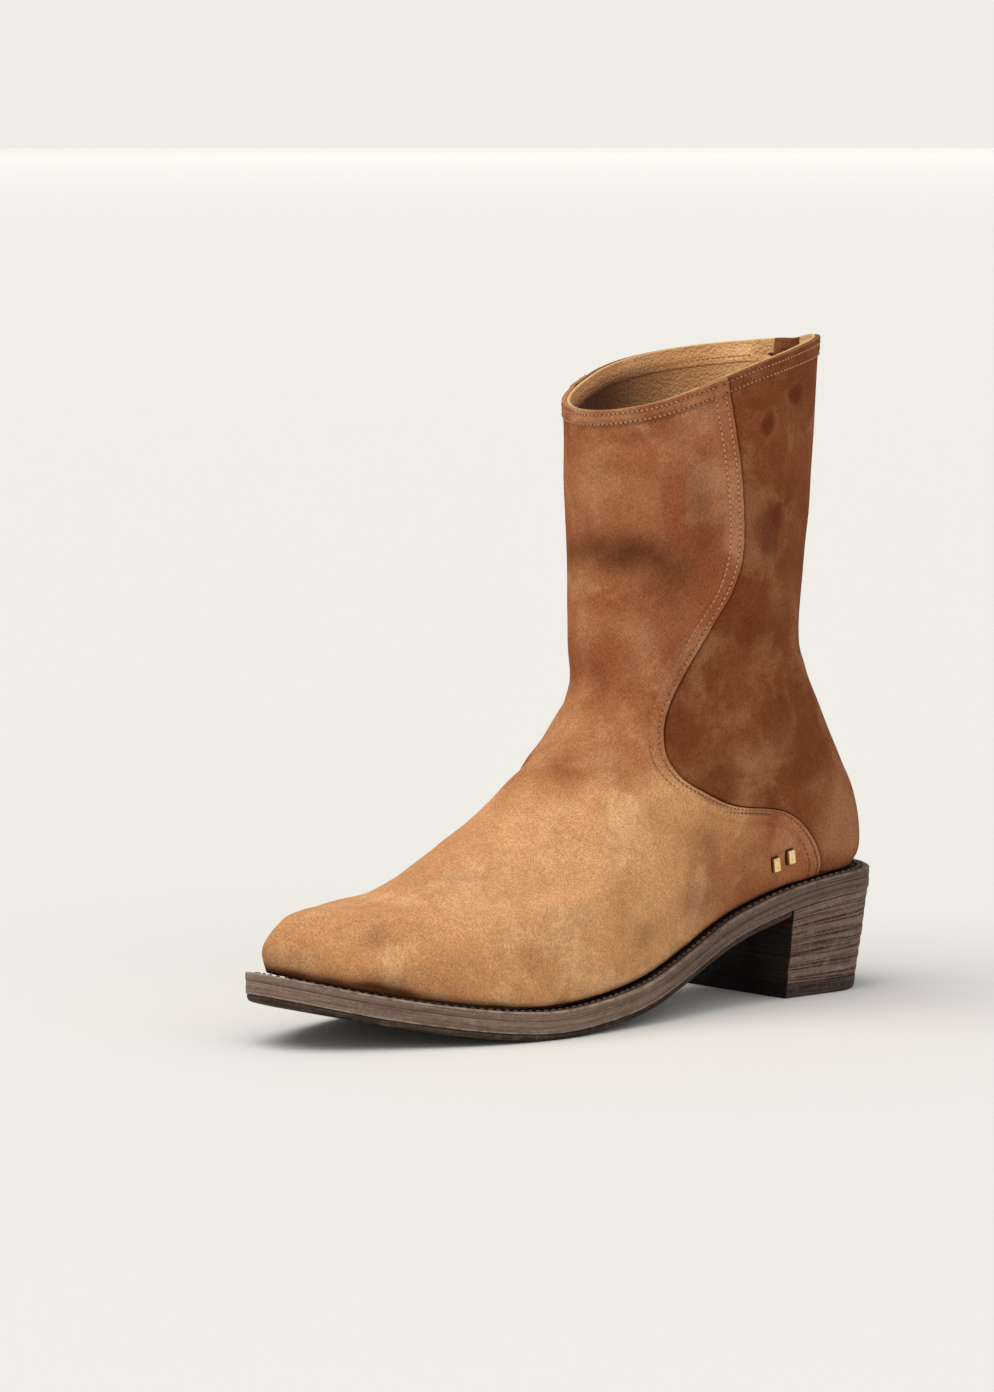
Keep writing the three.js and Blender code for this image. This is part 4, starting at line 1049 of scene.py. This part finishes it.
def quarter_marks(u, v, points):
    below, _ = edge_distance(v)
    turned_in = 9 * (v < ZIP_GAP_START)    # below the zip the back edges are turned in, so none shows
    edge = raw_edge(np.minimum(back_distance(v, points) + turned_in, below))
    lap = behind_edge(u, v)
    # Painted shadow along the front panel's edge where it laps the quarter, and painted shade along the
    # collar's stitch lines.
    seam_shade = 0.5 * hump(lap, 1.2) + 0.2 * hump(lap, 4) + 0.14 * near_lines(below, COLLAR_LINES, 1.2)
    return suede_marks(points, u, v, edge, seam_shade)


for side, name in ((1, "lateral_quarter"), (-1, "medial_quarter")):
    shell(name + "_suede", SUEDE_ROWS, quarter_columns(side), quarter_outer, quarter_inner, DARK_SUEDE,
          [name], quarter_marks)

# ------------ upper: linings


COUNTER_REACH, COUNTER_TOP = 0.155, 0.38     # how far the stiffeners reach round the ring, and up
PUFF_REACH, PUFF_TOP = 0.14, 0.36
STIFFENER_ROOM = 1.8
LINING_DEPTH = 3
LINING_THICKNESS = 1


def over_stiffener(distance, v, reach, top):
    """1 where a stiffener lies behind the lining, falling to 0 past its edges."""
    return ease((reach + 0.045 - distance) / 0.03) * ease((top + 0.09 - v) / 0.07)


def lining_room(u, v):
    """How far the lining gives way to the heel counter, the toe puff and the zip tapes."""
    counter = over_stiffener(from_back(u), v, COUNTER_REACH, COUNTER_TOP)
    puff = over_stiffener(from_toe(u), v, PUFF_REACH, PUFF_TOP)
    tape = 0.6 * ease((0.105 - from_back(u)) / 0.03) * ease((v - 0.7) / 0.05)
    return STIFFENER_ROOM * np.maximum(np.maximum(counter, puff), tape)


def lining_outer(u, v, points):
    return -LINING_DEPTH - lining_room(u, v)


def lining_inner(u, v, points):
    return lining_outer(u, v, points) - LINING_THICKNESS


FACING_LINE = 2.4                # stitches above the lower edge of the facing
FACING_GAP = 0.0001              # between the facing and the linings, in units of v


def facing_share(u, below):
    """How far the facing has come out to the suede: fully at the collar, not at all by the zip."""
    return ease((7 - below) / 6) * ease((from_back(u) - 0.05) / 0.03)


def facing_outer(u, v, points):
    below, _ = edge_distance(v)
    return mix(lining_outer(u, v, points), -1.6, facing_share(u, below)) - rolled(below, 0.5)


def facing_inner(u, v, points):
    below, _ = edge_distance(v)
    hem = (1 - FACING_START) * COLLAR_RISE - below
    fold = 0.35 * ease((from_back(u) - 0.05) / 0.03)
    depth = mix(lining_inner(u, v, points) - fold, -3.0, facing_share(u, below))
    return depth + rolled(hem, 0.4) + rolled(below, 0.6) + 0.22 * hump(hem - FACING_LINE, 0.7)


def lining_marks(u, v, points):
    """Painted shade darkens the lining at the front of the shaft's inside, and its cut edge shows at the
    collar.
    """
    below, _ = edge_distance(v)
    front = ease((0.3 - np.abs(u % 1 - 0.6)) / 0.2)
    return {"edge": clamp01(1.4 - below / 0.5), "tone": front * ease((below - 1) / 7)}


LINING_ROWS = rows_between(FOOT, FACING_START - FACING_GAP, 3.2)
FACING_ROWS = rows_between(FACING_START, 1, 1.3, (0, 0.04, 0.14, 0.3, 0.5, 0.9),
                           (0, 0.05, 0.15, 0.3, 0.5, 0.9, 1.5, 2.0, 2.4, 2.8, 3.4, 4.2))


def beside_zip(side):
    """Place round the ring just past the back edge of a quarter, on one side."""
    return lambda v: across_back(side * (back_half_gap(v) + 0.6), v)


def at_place(u):
    return lambda v: u + 0 * v


def band(start, end, count):
    def columns(v):
        first, last = start(v), end(v)
        return first + (last - first) * np.linspace(0, 1, count + 1)
    return columns


QUARTER_SPLIT = LINING_SPLIT - LINING_SPLIT_GAP
LININGS = [
    ("vamp_lining", at_place(LINING_SPLIT), at_place(1 - LINING_SPLIT), 110),
    ("lateral_quarter_lining", beside_zip(1), at_place(QUARTER_SPLIT), 34),
    ("medial_quarter_lining", at_place(-QUARTER_SPLIT), beside_zip(-1), 34),
]
for name, start, end, count in LININGS:
    shell(name + "_leather", LINING_ROWS, band(start, end, count), lining_outer, lining_inner, LINING,
          [name], lining_marks)
shell("collar_facing_leather", FACING_ROWS, band(beside_zip(1), lambda v: 1 + beside_zip(-1)(v), 240),
      facing_outer, facing_inner, LINING, ["collar_facing"], lining_marks)

# ------------ zip guard inside

# The guard is sewn in at its outer side (GUARD_SEWN) and passes behind the teeth to the inner side's lining.
GUARD_FREE, GUARD_SEWN = -8, 12
GUARD_START, GUARD_END = 0.802, 1.0
GUARD_STEP_FROM, GUARD_STEP_TO = -2, -5.3
GUARD_SEWN_DEPTH, GUARD_FREE_DEPTH = -2.9, -5.5
GUARD_THICKNESS = 0.8
GUARD_EDGE = (0, 0.05, 0.2, 0.4)
GUARD_ROWS = rows_between(GUARD_START, GUARD_END, 1.5, GUARD_EDGE, GUARD_EDGE)


def guard_columns(v):
    middle = np.linspace(GUARD_FREE + 0.9, GUARD_SEWN - 0.9, 26)
    run = np.array(GUARD_EDGE)
    reach = np.concatenate([GUARD_FREE + run, middle, GUARD_SEWN - run[::-1]])
    return np.concatenate([across_back(x, v) for x in reach], axis=1)


def guard_across(v, points):
    return points[..., 0] - upper_point(0, v)[..., 0]


def guard_edge(v, points):
    x = guard_across(v, points)
    ends = np.minimum(GUARD_END - v, v - GUARD_START) * COLLAR_RISE
    return np.minimum(np.minimum(x - GUARD_FREE, GUARD_SEWN - x), ends)


def guard_middle(v, points):
    step = ease((GUARD_STEP_FROM - guard_across(v, points)) / (GUARD_STEP_FROM - GUARD_STEP_TO))
    return mix(GUARD_SEWN_DEPTH, GUARD_FREE_DEPTH, step)


shell("zip_guard_suede", GUARD_ROWS, guard_columns,
      lambda u, v, p: guard_middle(v, p) - rolled(guard_edge(v, p), 0.35),
      lambda u, v, p: guard_middle(v, p) - GUARD_THICKNESS + rolled(guard_edge(v, p), 0.35),
      DARK_SUEDE, ["zip_guard"],
      lambda u, v, p: suede_marks(p, u, v, np.clip(1.2 - guard_edge(v, p) / 0.4, 0, 1)))

# ------------ stitches

FINE_V = np.linspace(FOOT + 0.004, 0.9975, 1400)


def seam_line(distance, side):
    """Stitch line beside the front panel's edge. The thread is darker lower down and at the collar."""
    depth = LAP_RISE + stitch_press(distance, SEAM_LINES)
    tone = 0.1 + 0.42 * ease((0.86 - FINE_V) / 0.1) + 0.4 * ease((0.6 - FINE_V) / 0.05)
    tone = tone + 0.2 * ease((FINE_V - 0.97) / 0.02)
    return *path_on_upper(side * past_edge(FINE_V, distance), FINE_V, depth), tone


stitching("seam_stitches", [seam_line(d, side) for side in (1, -1) for d in SEAM_LINES], THREAD,
          radius=0.29, rise=0.15)


def collar_line(distance):
    """Stitch line round the collar, on the front panel and both quarters."""
    u = np.linspace(0.035, 0.965, 1800)
    v = 1 - distance / COLLAR_RISE + 0 * u
    base = upper_point(u, v)
    edge = front_edge(v)
    on_front = (u > edge) & (u < 1 - edge)
    depth = np.where(on_front, lap_rise(seam_distance(base)), 0.0) + stitch_press(distance, COLLAR_LINES)
    return *path_on_upper(u, v, depth + hem_rise(distance)), 0.25 + 0.25 * waves(base, 40, 2)


stitching("collar_stitches", [collar_line(d) for d in COLLAR_LINES], DARK_THREAD, pitch=2.0, radius=0.33)


def facing_line():
    u = np.linspace(0.06, 0.94, 1600)
    v = FACING_START + FACING_LINE / COLLAR_RISE + 0 * u
    points, normals = path_on_upper(u, v, facing_inner(u, v, upper_point(u, v)) + 0.05)
    return points, -normals


stitching("facing_stitches", [facing_line()], DARK_THREAD, pitch=2.2, radius=0.28)


def back_line(side, low, high):
    """Stitch line beside the zip or the back seam, between two heights."""
    v = np.linspace(low, high, 700)
    u = across_back(side * (back_half_gap(v) + BACK_LINE), v)
    return *path_on_upper(u, v, quarter_outer(u, v, upper_point(u, v))), 0.4 + 0 * v


stitching("zip_stitches", [back_line(side, low, high) for low, high in ((0.79, 0.985), (0.03, 0.76))
                           for side in (1, -1)], DARK_THREAD)

# ------------ welt


def outline_loop(inset, count):
    """Even points round the sole outline at an inset."""
    angle = np.linspace(0, 2 * np.pi, 4001)
    at = mix(inset, SOLE_LENGTH - inset, (1 - np.cos(angle)) / 2)
    lateral, medial = outline_at(at, inset)
    line = np.stack([np.where(np.sin(angle) >= 0, lateral, medial), to_y(at), welt_top(at)], -1)
    run = run_length(line)
    return read_line(run, line, np.linspace(0, run[-1], count + 1)[:-1])


# From the welt's top edge out, round the rim, back underneath and out over the stitched groove: inset, depth
# below the top, how far the finish is scuffed there, and how much painted shade it gets underneath, in the
# groove and under the upper.
WELT_PROFILE = [
    (0.9, 0, 1, 0), (0.45, -0.08, 1, 0), (0.15, -0.35, 0.9, 0), (0.0, -0.8, 0.5, 0), (0.05, -1.6, 0, 0),
    (0.0, -2.8, 0, 0), (0.07, -3.25, 0.1, 0), (0.3, -3.42, 0, 0.5), (9.6, -3.42, 0, 1), (9.6, -0.05, 0, 1),
    (6.5, -0.05, 0, 1), (4.6, -0.1, 0, 1), (4.0, -0.55, 0, 1), (3.2, -0.6, 0, 1), (2.7, -0.12, 0.1, 0.7),
    (1.8, 0.0, 0.4, 0.15),
]
WELT_POINTS = 640


def welt_loop(inset, depth):
    """Line round the welt, with its rim a little knocked about."""
    loop = outline_loop(inset, WELT_POINTS) + np.array([0, 0, depth])
    if inset >= 1:
        return loop
    return loop - unit(loop * np.array([1, 0.3, 0])) * (0.16 * np.abs(waves(loop, 9, 31)))[:, None]


def welt():
    loops = np.stack([welt_loop(inset, depth) for inset, depth, _, _ in WELT_PROFILE])
    index = np.arange(len(WELT_PROFILE) * WELT_POINTS).reshape(-1, WELT_POINTS)
    after = np.roll(index, -1, 0)
    quads = np.stack([index, np.roll(index, -1, 1), np.roll(after, -1, 1), after], -1).reshape(-1, 4)
    _, depth, edge, painted_shade = (np.repeat(numbers, WELT_POINTS) for numbers in zip(*WELT_PROFILE))
    # Painted shade along the waist, over that of the profile.
    painted_shade = np.maximum(painted_shade, painted_waist_shade(loops[..., 1].ravel()))
    new_object("welt_leather", loops, [quads], EDGE_LEATHER, replaces=["welt"],
               marks={"edge": edge, "layer": depth * MM, "painted_shade": painted_shade}, crease=50)


welt()


def welt_line():
    line = outline_loop(3.6, 1600)
    ahead = np.roll(line, -1, 0) - np.roll(line, 1, 0)
    side = unit(np.cross(ahead, np.array([0, 0, 1.0])))
    normals = unit(np.cross(side, ahead))
    normals = normals * np.where(normals[:, 2:] < 0, -1, 1)
    closed = np.concatenate([line, line[:1]]) + np.array([0, 0, -0.25])
    return closed, np.concatenate([normals, normals[:1]]), 0.35 + 0.3 * waves(closed, 30, 9)


stitching("welt_stitches", [welt_line()], WELT_THREAD, pitch=3.6, radius=0.58, rise=0.42)

# ------------ sole and heel


def inset_start(inset):
    return inset


def inset_end(inset):
    return SOLE_LENGTH - inset


def under_welt(depth):
    return lambda at: welt_top(at) + depth


def edge_profile(inset, low, high, radius, bulge):
    """Rounded side of a sole layer, from its bottom face up to its top face."""
    inner, shoulder = radius * 2.2, radius * 0.3
    spots = [(inner, low, 0.0), (radius, low, 0.5), (shoulder, low + shoulder, 1), (0, low + radius, 1),
             (0, low + radius + 0.5, 0.25), (-bulge * 0.5, mix(low, high, 0.35), 0),
             (-bulge, mix(low, high, 0.55), 0), (0, high - radius, 0.25), (shoulder, high - shoulder, 0.5),
             (radius, high, 0.3), (inner, high, 0)]
    return [(inset + x, under_welt(z), edge, z * MM) for x, z, edge in spots]


OUTSOLE_PROFILE = edge_profile(0.2, OUTSOLE_BOTTOM, OUTSOLE_TOP, 0.3, 0.12)
sole_solid("outsole_leather", OUTSOLE_PROFILE, inset_start, inset_end, both_ends, EDGE_LEATHER,
           ["outsole"], rough=0.22, seed=5, shaded_waist=1)


def rubber_height(depth):
    """Height under the welt, but no lower than the ground."""
    return lambda at: np.maximum(0.0, welt_top(at) + depth)


RUBBER_PROFILE = [
    (inset, rubber_height(z), edge, z * MM) for inset, z, edge in
    [(3.1, RUBBER_BOTTOM, 0), (2.2, RUBBER_BOTTOM, 0), (1.4, RUBBER_BOTTOM + 0.2, 0),
     (0.8, RUBBER_BOTTOM + 0.8, 0), (0.5, RUBBER_TOP - 0.5, 0), (0.6, RUBBER_TOP + 0.05, 0.2),
     (1.1, RUBBER_TOP + 0.22, 0)]
]
sole_solid("rubber_sole_worn", RUBBER_PROFILE, lambda inset: HEEL_BREAST + 1.0, inset_end, front_end,
           WORN_RUBBER, ["rubber_sole"], rough=0.12, seed=8)

# Side of a heel layer from its bottom up: inset in rim widths and in mm, share of its thickness, scuffing.
HEEL_SIDE = [(2, 0, 0, 0), (1, 0, 0, 0.1), (0.25, 0, 0.08, 0.3), (0, 0, 0.22, 0.1), (0, -0.05, 0.5, 0),
             (0, 0, 0.78, 0.1), (0.25, 0, 0.92, 0.3), (1, 0, 1, 0.1), (2, 0, 1, 0)]
TOP_LIFT_SHARE = 0.15            # share of the heel's height that the rubber top lift takes
HEEL_INSET = 0.35                # of the heel's top
LAYER_STEP = 0.0055              # what the finish reads as one layer's thickness


def heel_height(share):
    """Height at a share of the way from the rubber top lift to the outsole."""
    return lambda at: mix(TOP_LIFT_THICKNESS + 0.2, welt_top(at) + OUTSOLE_BOTTOM - 0.3, share)


def top_lift_height(share):
    return lambda at: TOP_LIFT_THICKNESS * share + 0 * at


def lowered(height, gap):
    return lambda at: height(at) - gap


def heel_layer(name, node, number, taper, heights, gap, finish, rim):
    """Layer of the heel. taper holds the shares of the heel's taper at its two faces, and heights(share) gives
    the height over the place at a share of its thickness. A gap is left above it."""
    out = np.random.default_rng(40 + number).uniform(-0.12, 0.12)
    profile = []
    for rims, extra, share, edge in HEEL_SIDE:
        inset = mix(0.6 + HEEL_TAPER, HEEL_INSET, mix(*taper, share)) + rims * rim + extra + out + 0.12
        height = lowered(heights(share), gap * (share == 1))
        profile.append((inset, height, edge, (number + share) * LAYER_STEP))
    sole_solid(name, profile, inset_start, lambda inset: HEEL_BREAST - 0.12 * (number % 2) - 0.1, back_end,
               finish, [node], rough=0.16, seed=50 + number, steps=110, cut_end=True)


for number in range(1, HEEL_LIFTS + 1):
    low, high = (number - 1) / HEEL_LIFTS, number / HEEL_LIFTS
    taper = (mix(TOP_LIFT_SHARE, 1, low), mix(TOP_LIFT_SHARE, 1, high))
    name = f"heel_lift_{number}"
    heel_layer(name + "_leather", name, number, taper, lambda share: heel_height(mix(low, high, share)), 0.08,
               HEEL_LEATHER, 0.16)
heel_layer("rubber_top_lift_worn", "rubber_top_lift", 0, (0, TOP_LIFT_SHARE), top_lift_height, 0, WORN_RUBBER,
           0.5)

# ------------ painted shadow round the studs: thin dark plates

STUD_SHADOW = 0.42                 # painted shadow round a stud, reaching most of all above and towards the toe
SHADOW_LIFT = 0.16
SHADOW_THICKNESS = 0.7
# Corners of a stud and how far the painted shadow reaches past each, to the toe and up.
SHADOW_CORNERS = [((-1, -1), (-0.5, -0.6)), ((1, -1), (1, -0.6)), ((1, 1), (1, 1)), ((-1, 1), (-0.5, 1))]


def stud_shadow_plate(name, place):
    """Thin dark plate under a stud, a little larger than it, painted as the stud's shadow."""
    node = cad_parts[name]
    corners = np.array([node.matrix_world @ vertex.co for vertex in node.data.vertices]) / MM
    centre, out = upper_point(*place), upper_normal(*place)
    up = unit(np.array([0, 0, 1.0]) - out * out[2])
    side = np.cross(out, up)
    side = side if side[1] < 0 else -side
    flat = np.stack([(corners - centre) @ side, (corners - centre) @ up], -1)
    away = flat - flat.mean(0)
    grown = [flat[np.argmax(away @ np.array(way))] + STUD_SHADOW * np.array(past) for way, past in SHADOW_CORNERS]
    s, t = np.meshgrid(np.linspace(0, 1, 9), np.linspace(0, 1, 13), indexing="ij")
    s, t = s[..., None], t[..., None]
    spread = mix(mix(grown[0], grown[1], s), mix(grown[3], grown[2], s), t)
    a, b = spread[..., :1], spread[..., 1:]
    lift = lap_rise(seam_distance(centre[None]))[0] + SHADOW_LIFT - 0.008 * a * a
    top = centre + a * side + b * up + out * lift
    new_object(name + "_shadow_plate", np.stack([top, top - out * SHADOW_THICKNESS]), sheet_faces(*top.shape[:2]), HOLE_SHADE)


for name, place in zip(("stud_front", "stud_rear"), STUD_PLACES):
    stud_shadow_plate(name, place)

# ------------ CAD nodes that stay: soften their edges

# Finish, slot, bevel width and nodes.
KEPT = [
    (BOARD, "fibre_board", 0.25, ("heel_counter", "toe_puff")),
    (CORK, "cork", 0.1, ("cork_filler",)),
    (STEEL, "spring_steel", 0.2, ("shank",)),
    (BOARD, "fibre_board", 0.2, ("insole_board",)),
    (LINING, "lining_leather", 0.3, ("sock_lining",)),
    (STEEL, "spring_steel", 0.15, ("heel_screw",)),
    (GOLD, "gold_stud", 0.45, ("stud_front", "stud_rear")),
    (TAPE, "zip_tape", 0.1, ("zip_tape_lateral", "zip_tape_medial")),
    (NICKEL, "zip_metal", 0.18, ("zip_teeth_lateral", "zip_teeth_medial")),
    (NICKEL, "zip_metal", 0.25, ("zip_slider", "zip_pull", "zip_bottom_stop", "zip_top_stop_lateral",
                                 "zip_top_stop_medial")),
]


def soften(node, finish, width):
    """Give a CAD node its finish, and round its edges."""
    node.data.materials.clear()
    node.data.materials.append(finish)
    weld = node.modifiers.new("weld", "WELD")
    weld.merge_threshold = 1e-6
    bevel = node.modifiers.new("bevel", "BEVEL")
    bevel.width = width * MM
    bevel.segments = 3
    bevel.limit_method = "ANGLE"
    bevel.angle_limit = math.radians(40)
    bevel.harden_normals = False


for finish, slot, width, names in KEPT:
    for name in names:
        soften(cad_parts[name], finish, width)

# ------------ stage

STUDIO = (0.871, 0.847, 0.791, 1.0)
FLOOR_SIZE = 40
WALL_REACH, WALL_BOTTOM, WALL_TOP = 18, -0.01, 4.5
WALL_SIDES = 48
FLOOR = Finish("floor", (0.81, 0.811, 0.786, 1.0), {"Roughness": 0.95, "Specular IOR Level": 0.05})
WALL = Finish("studio wall", STUDIO, {"Emission Color": STUDIO, "Emission Strength": 1.0,
                                      "Specular IOR Level": 0.0})
WALL.shader.inputs["Base Color"].default_value = (0, 0, 0, 1)


def staged(name, points, faces, finish):
    mesh = bpy.data.meshes.new(name)
    mesh.from_pydata(points, [], faces)
    mesh.materials.append(finish)
    made = bpy.data.objects.new(name, mesh)
    bpy.context.scene.collection.objects.link(made)


staged("floor", [(x * FLOOR_SIZE, y * FLOOR_SIZE, 0) for x, y in ((-1, -1), (1, -1), (1, 1), (-1, 1))],
       [(0, 1, 2, 3)], FLOOR.material)
turns = [k / WALL_SIDES * 2 * math.pi for k in range(WALL_SIDES)]
around = [(WALL_REACH * math.cos(a), WALL_REACH * math.sin(a)) for a in turns]
pairs = [(k, (k + 1) % WALL_SIDES) for k in range(WALL_SIDES)]
staged("studio_wall", [(x, y, z) for z in (WALL_BOTTOM, WALL_TOP) for x, y in around],
       [(a, b, WALL_SIDES + b, WALL_SIDES + a) for a, b in pairs], WALL.material)

world = bpy.data.worlds.new("studio")
bpy.context.scene.world = world
world.use_nodes = True
world.node_tree.nodes["Background"].inputs["Color"].default_value = (1.0, 0.985, 0.955, 1.0)
world.node_tree.nodes["Background"].inputs["Strength"].default_value = 0.4


def soft_light(name, towards, spread, strength):
    """Light from a direction, as wide as a large softbox."""
    light = bpy.data.lights.new(name, "SUN")
    light.angle = math.radians(spread)
    light.energy = strength
    light.color = (1.0, 0.975, 0.94)
    holder = bpy.data.objects.new(name, light)
    bpy.context.scene.collection.objects.link(holder)
    holder.rotation_euler = Vector(towards).to_track_quat("Z", "Y").to_euler()


soft_light("key", (-0.1, -0.4, 0.9), 55, 1.9)
soft_light("fill", (0.75, -0.1, 0.65), 60, 0.5)

camera = bpy.data.cameras.new("camera")
camera.lens = 168.36
camera.sensor_width = 36
camera.clip_start, camera.clip_end = 0.05, 100
viewer = bpy.data.objects.new("camera", camera)
bpy.context.scene.collection.objects.link(viewer)
viewer.location = (1.9242, -1.7384, 0.397)
viewer.rotation_euler = (math.radians(90 - 5.92), 0, math.radians(48.5))
bpy.context.scene.camera = viewer
bpy.context.scene.view_settings.view_transform = "Standard"
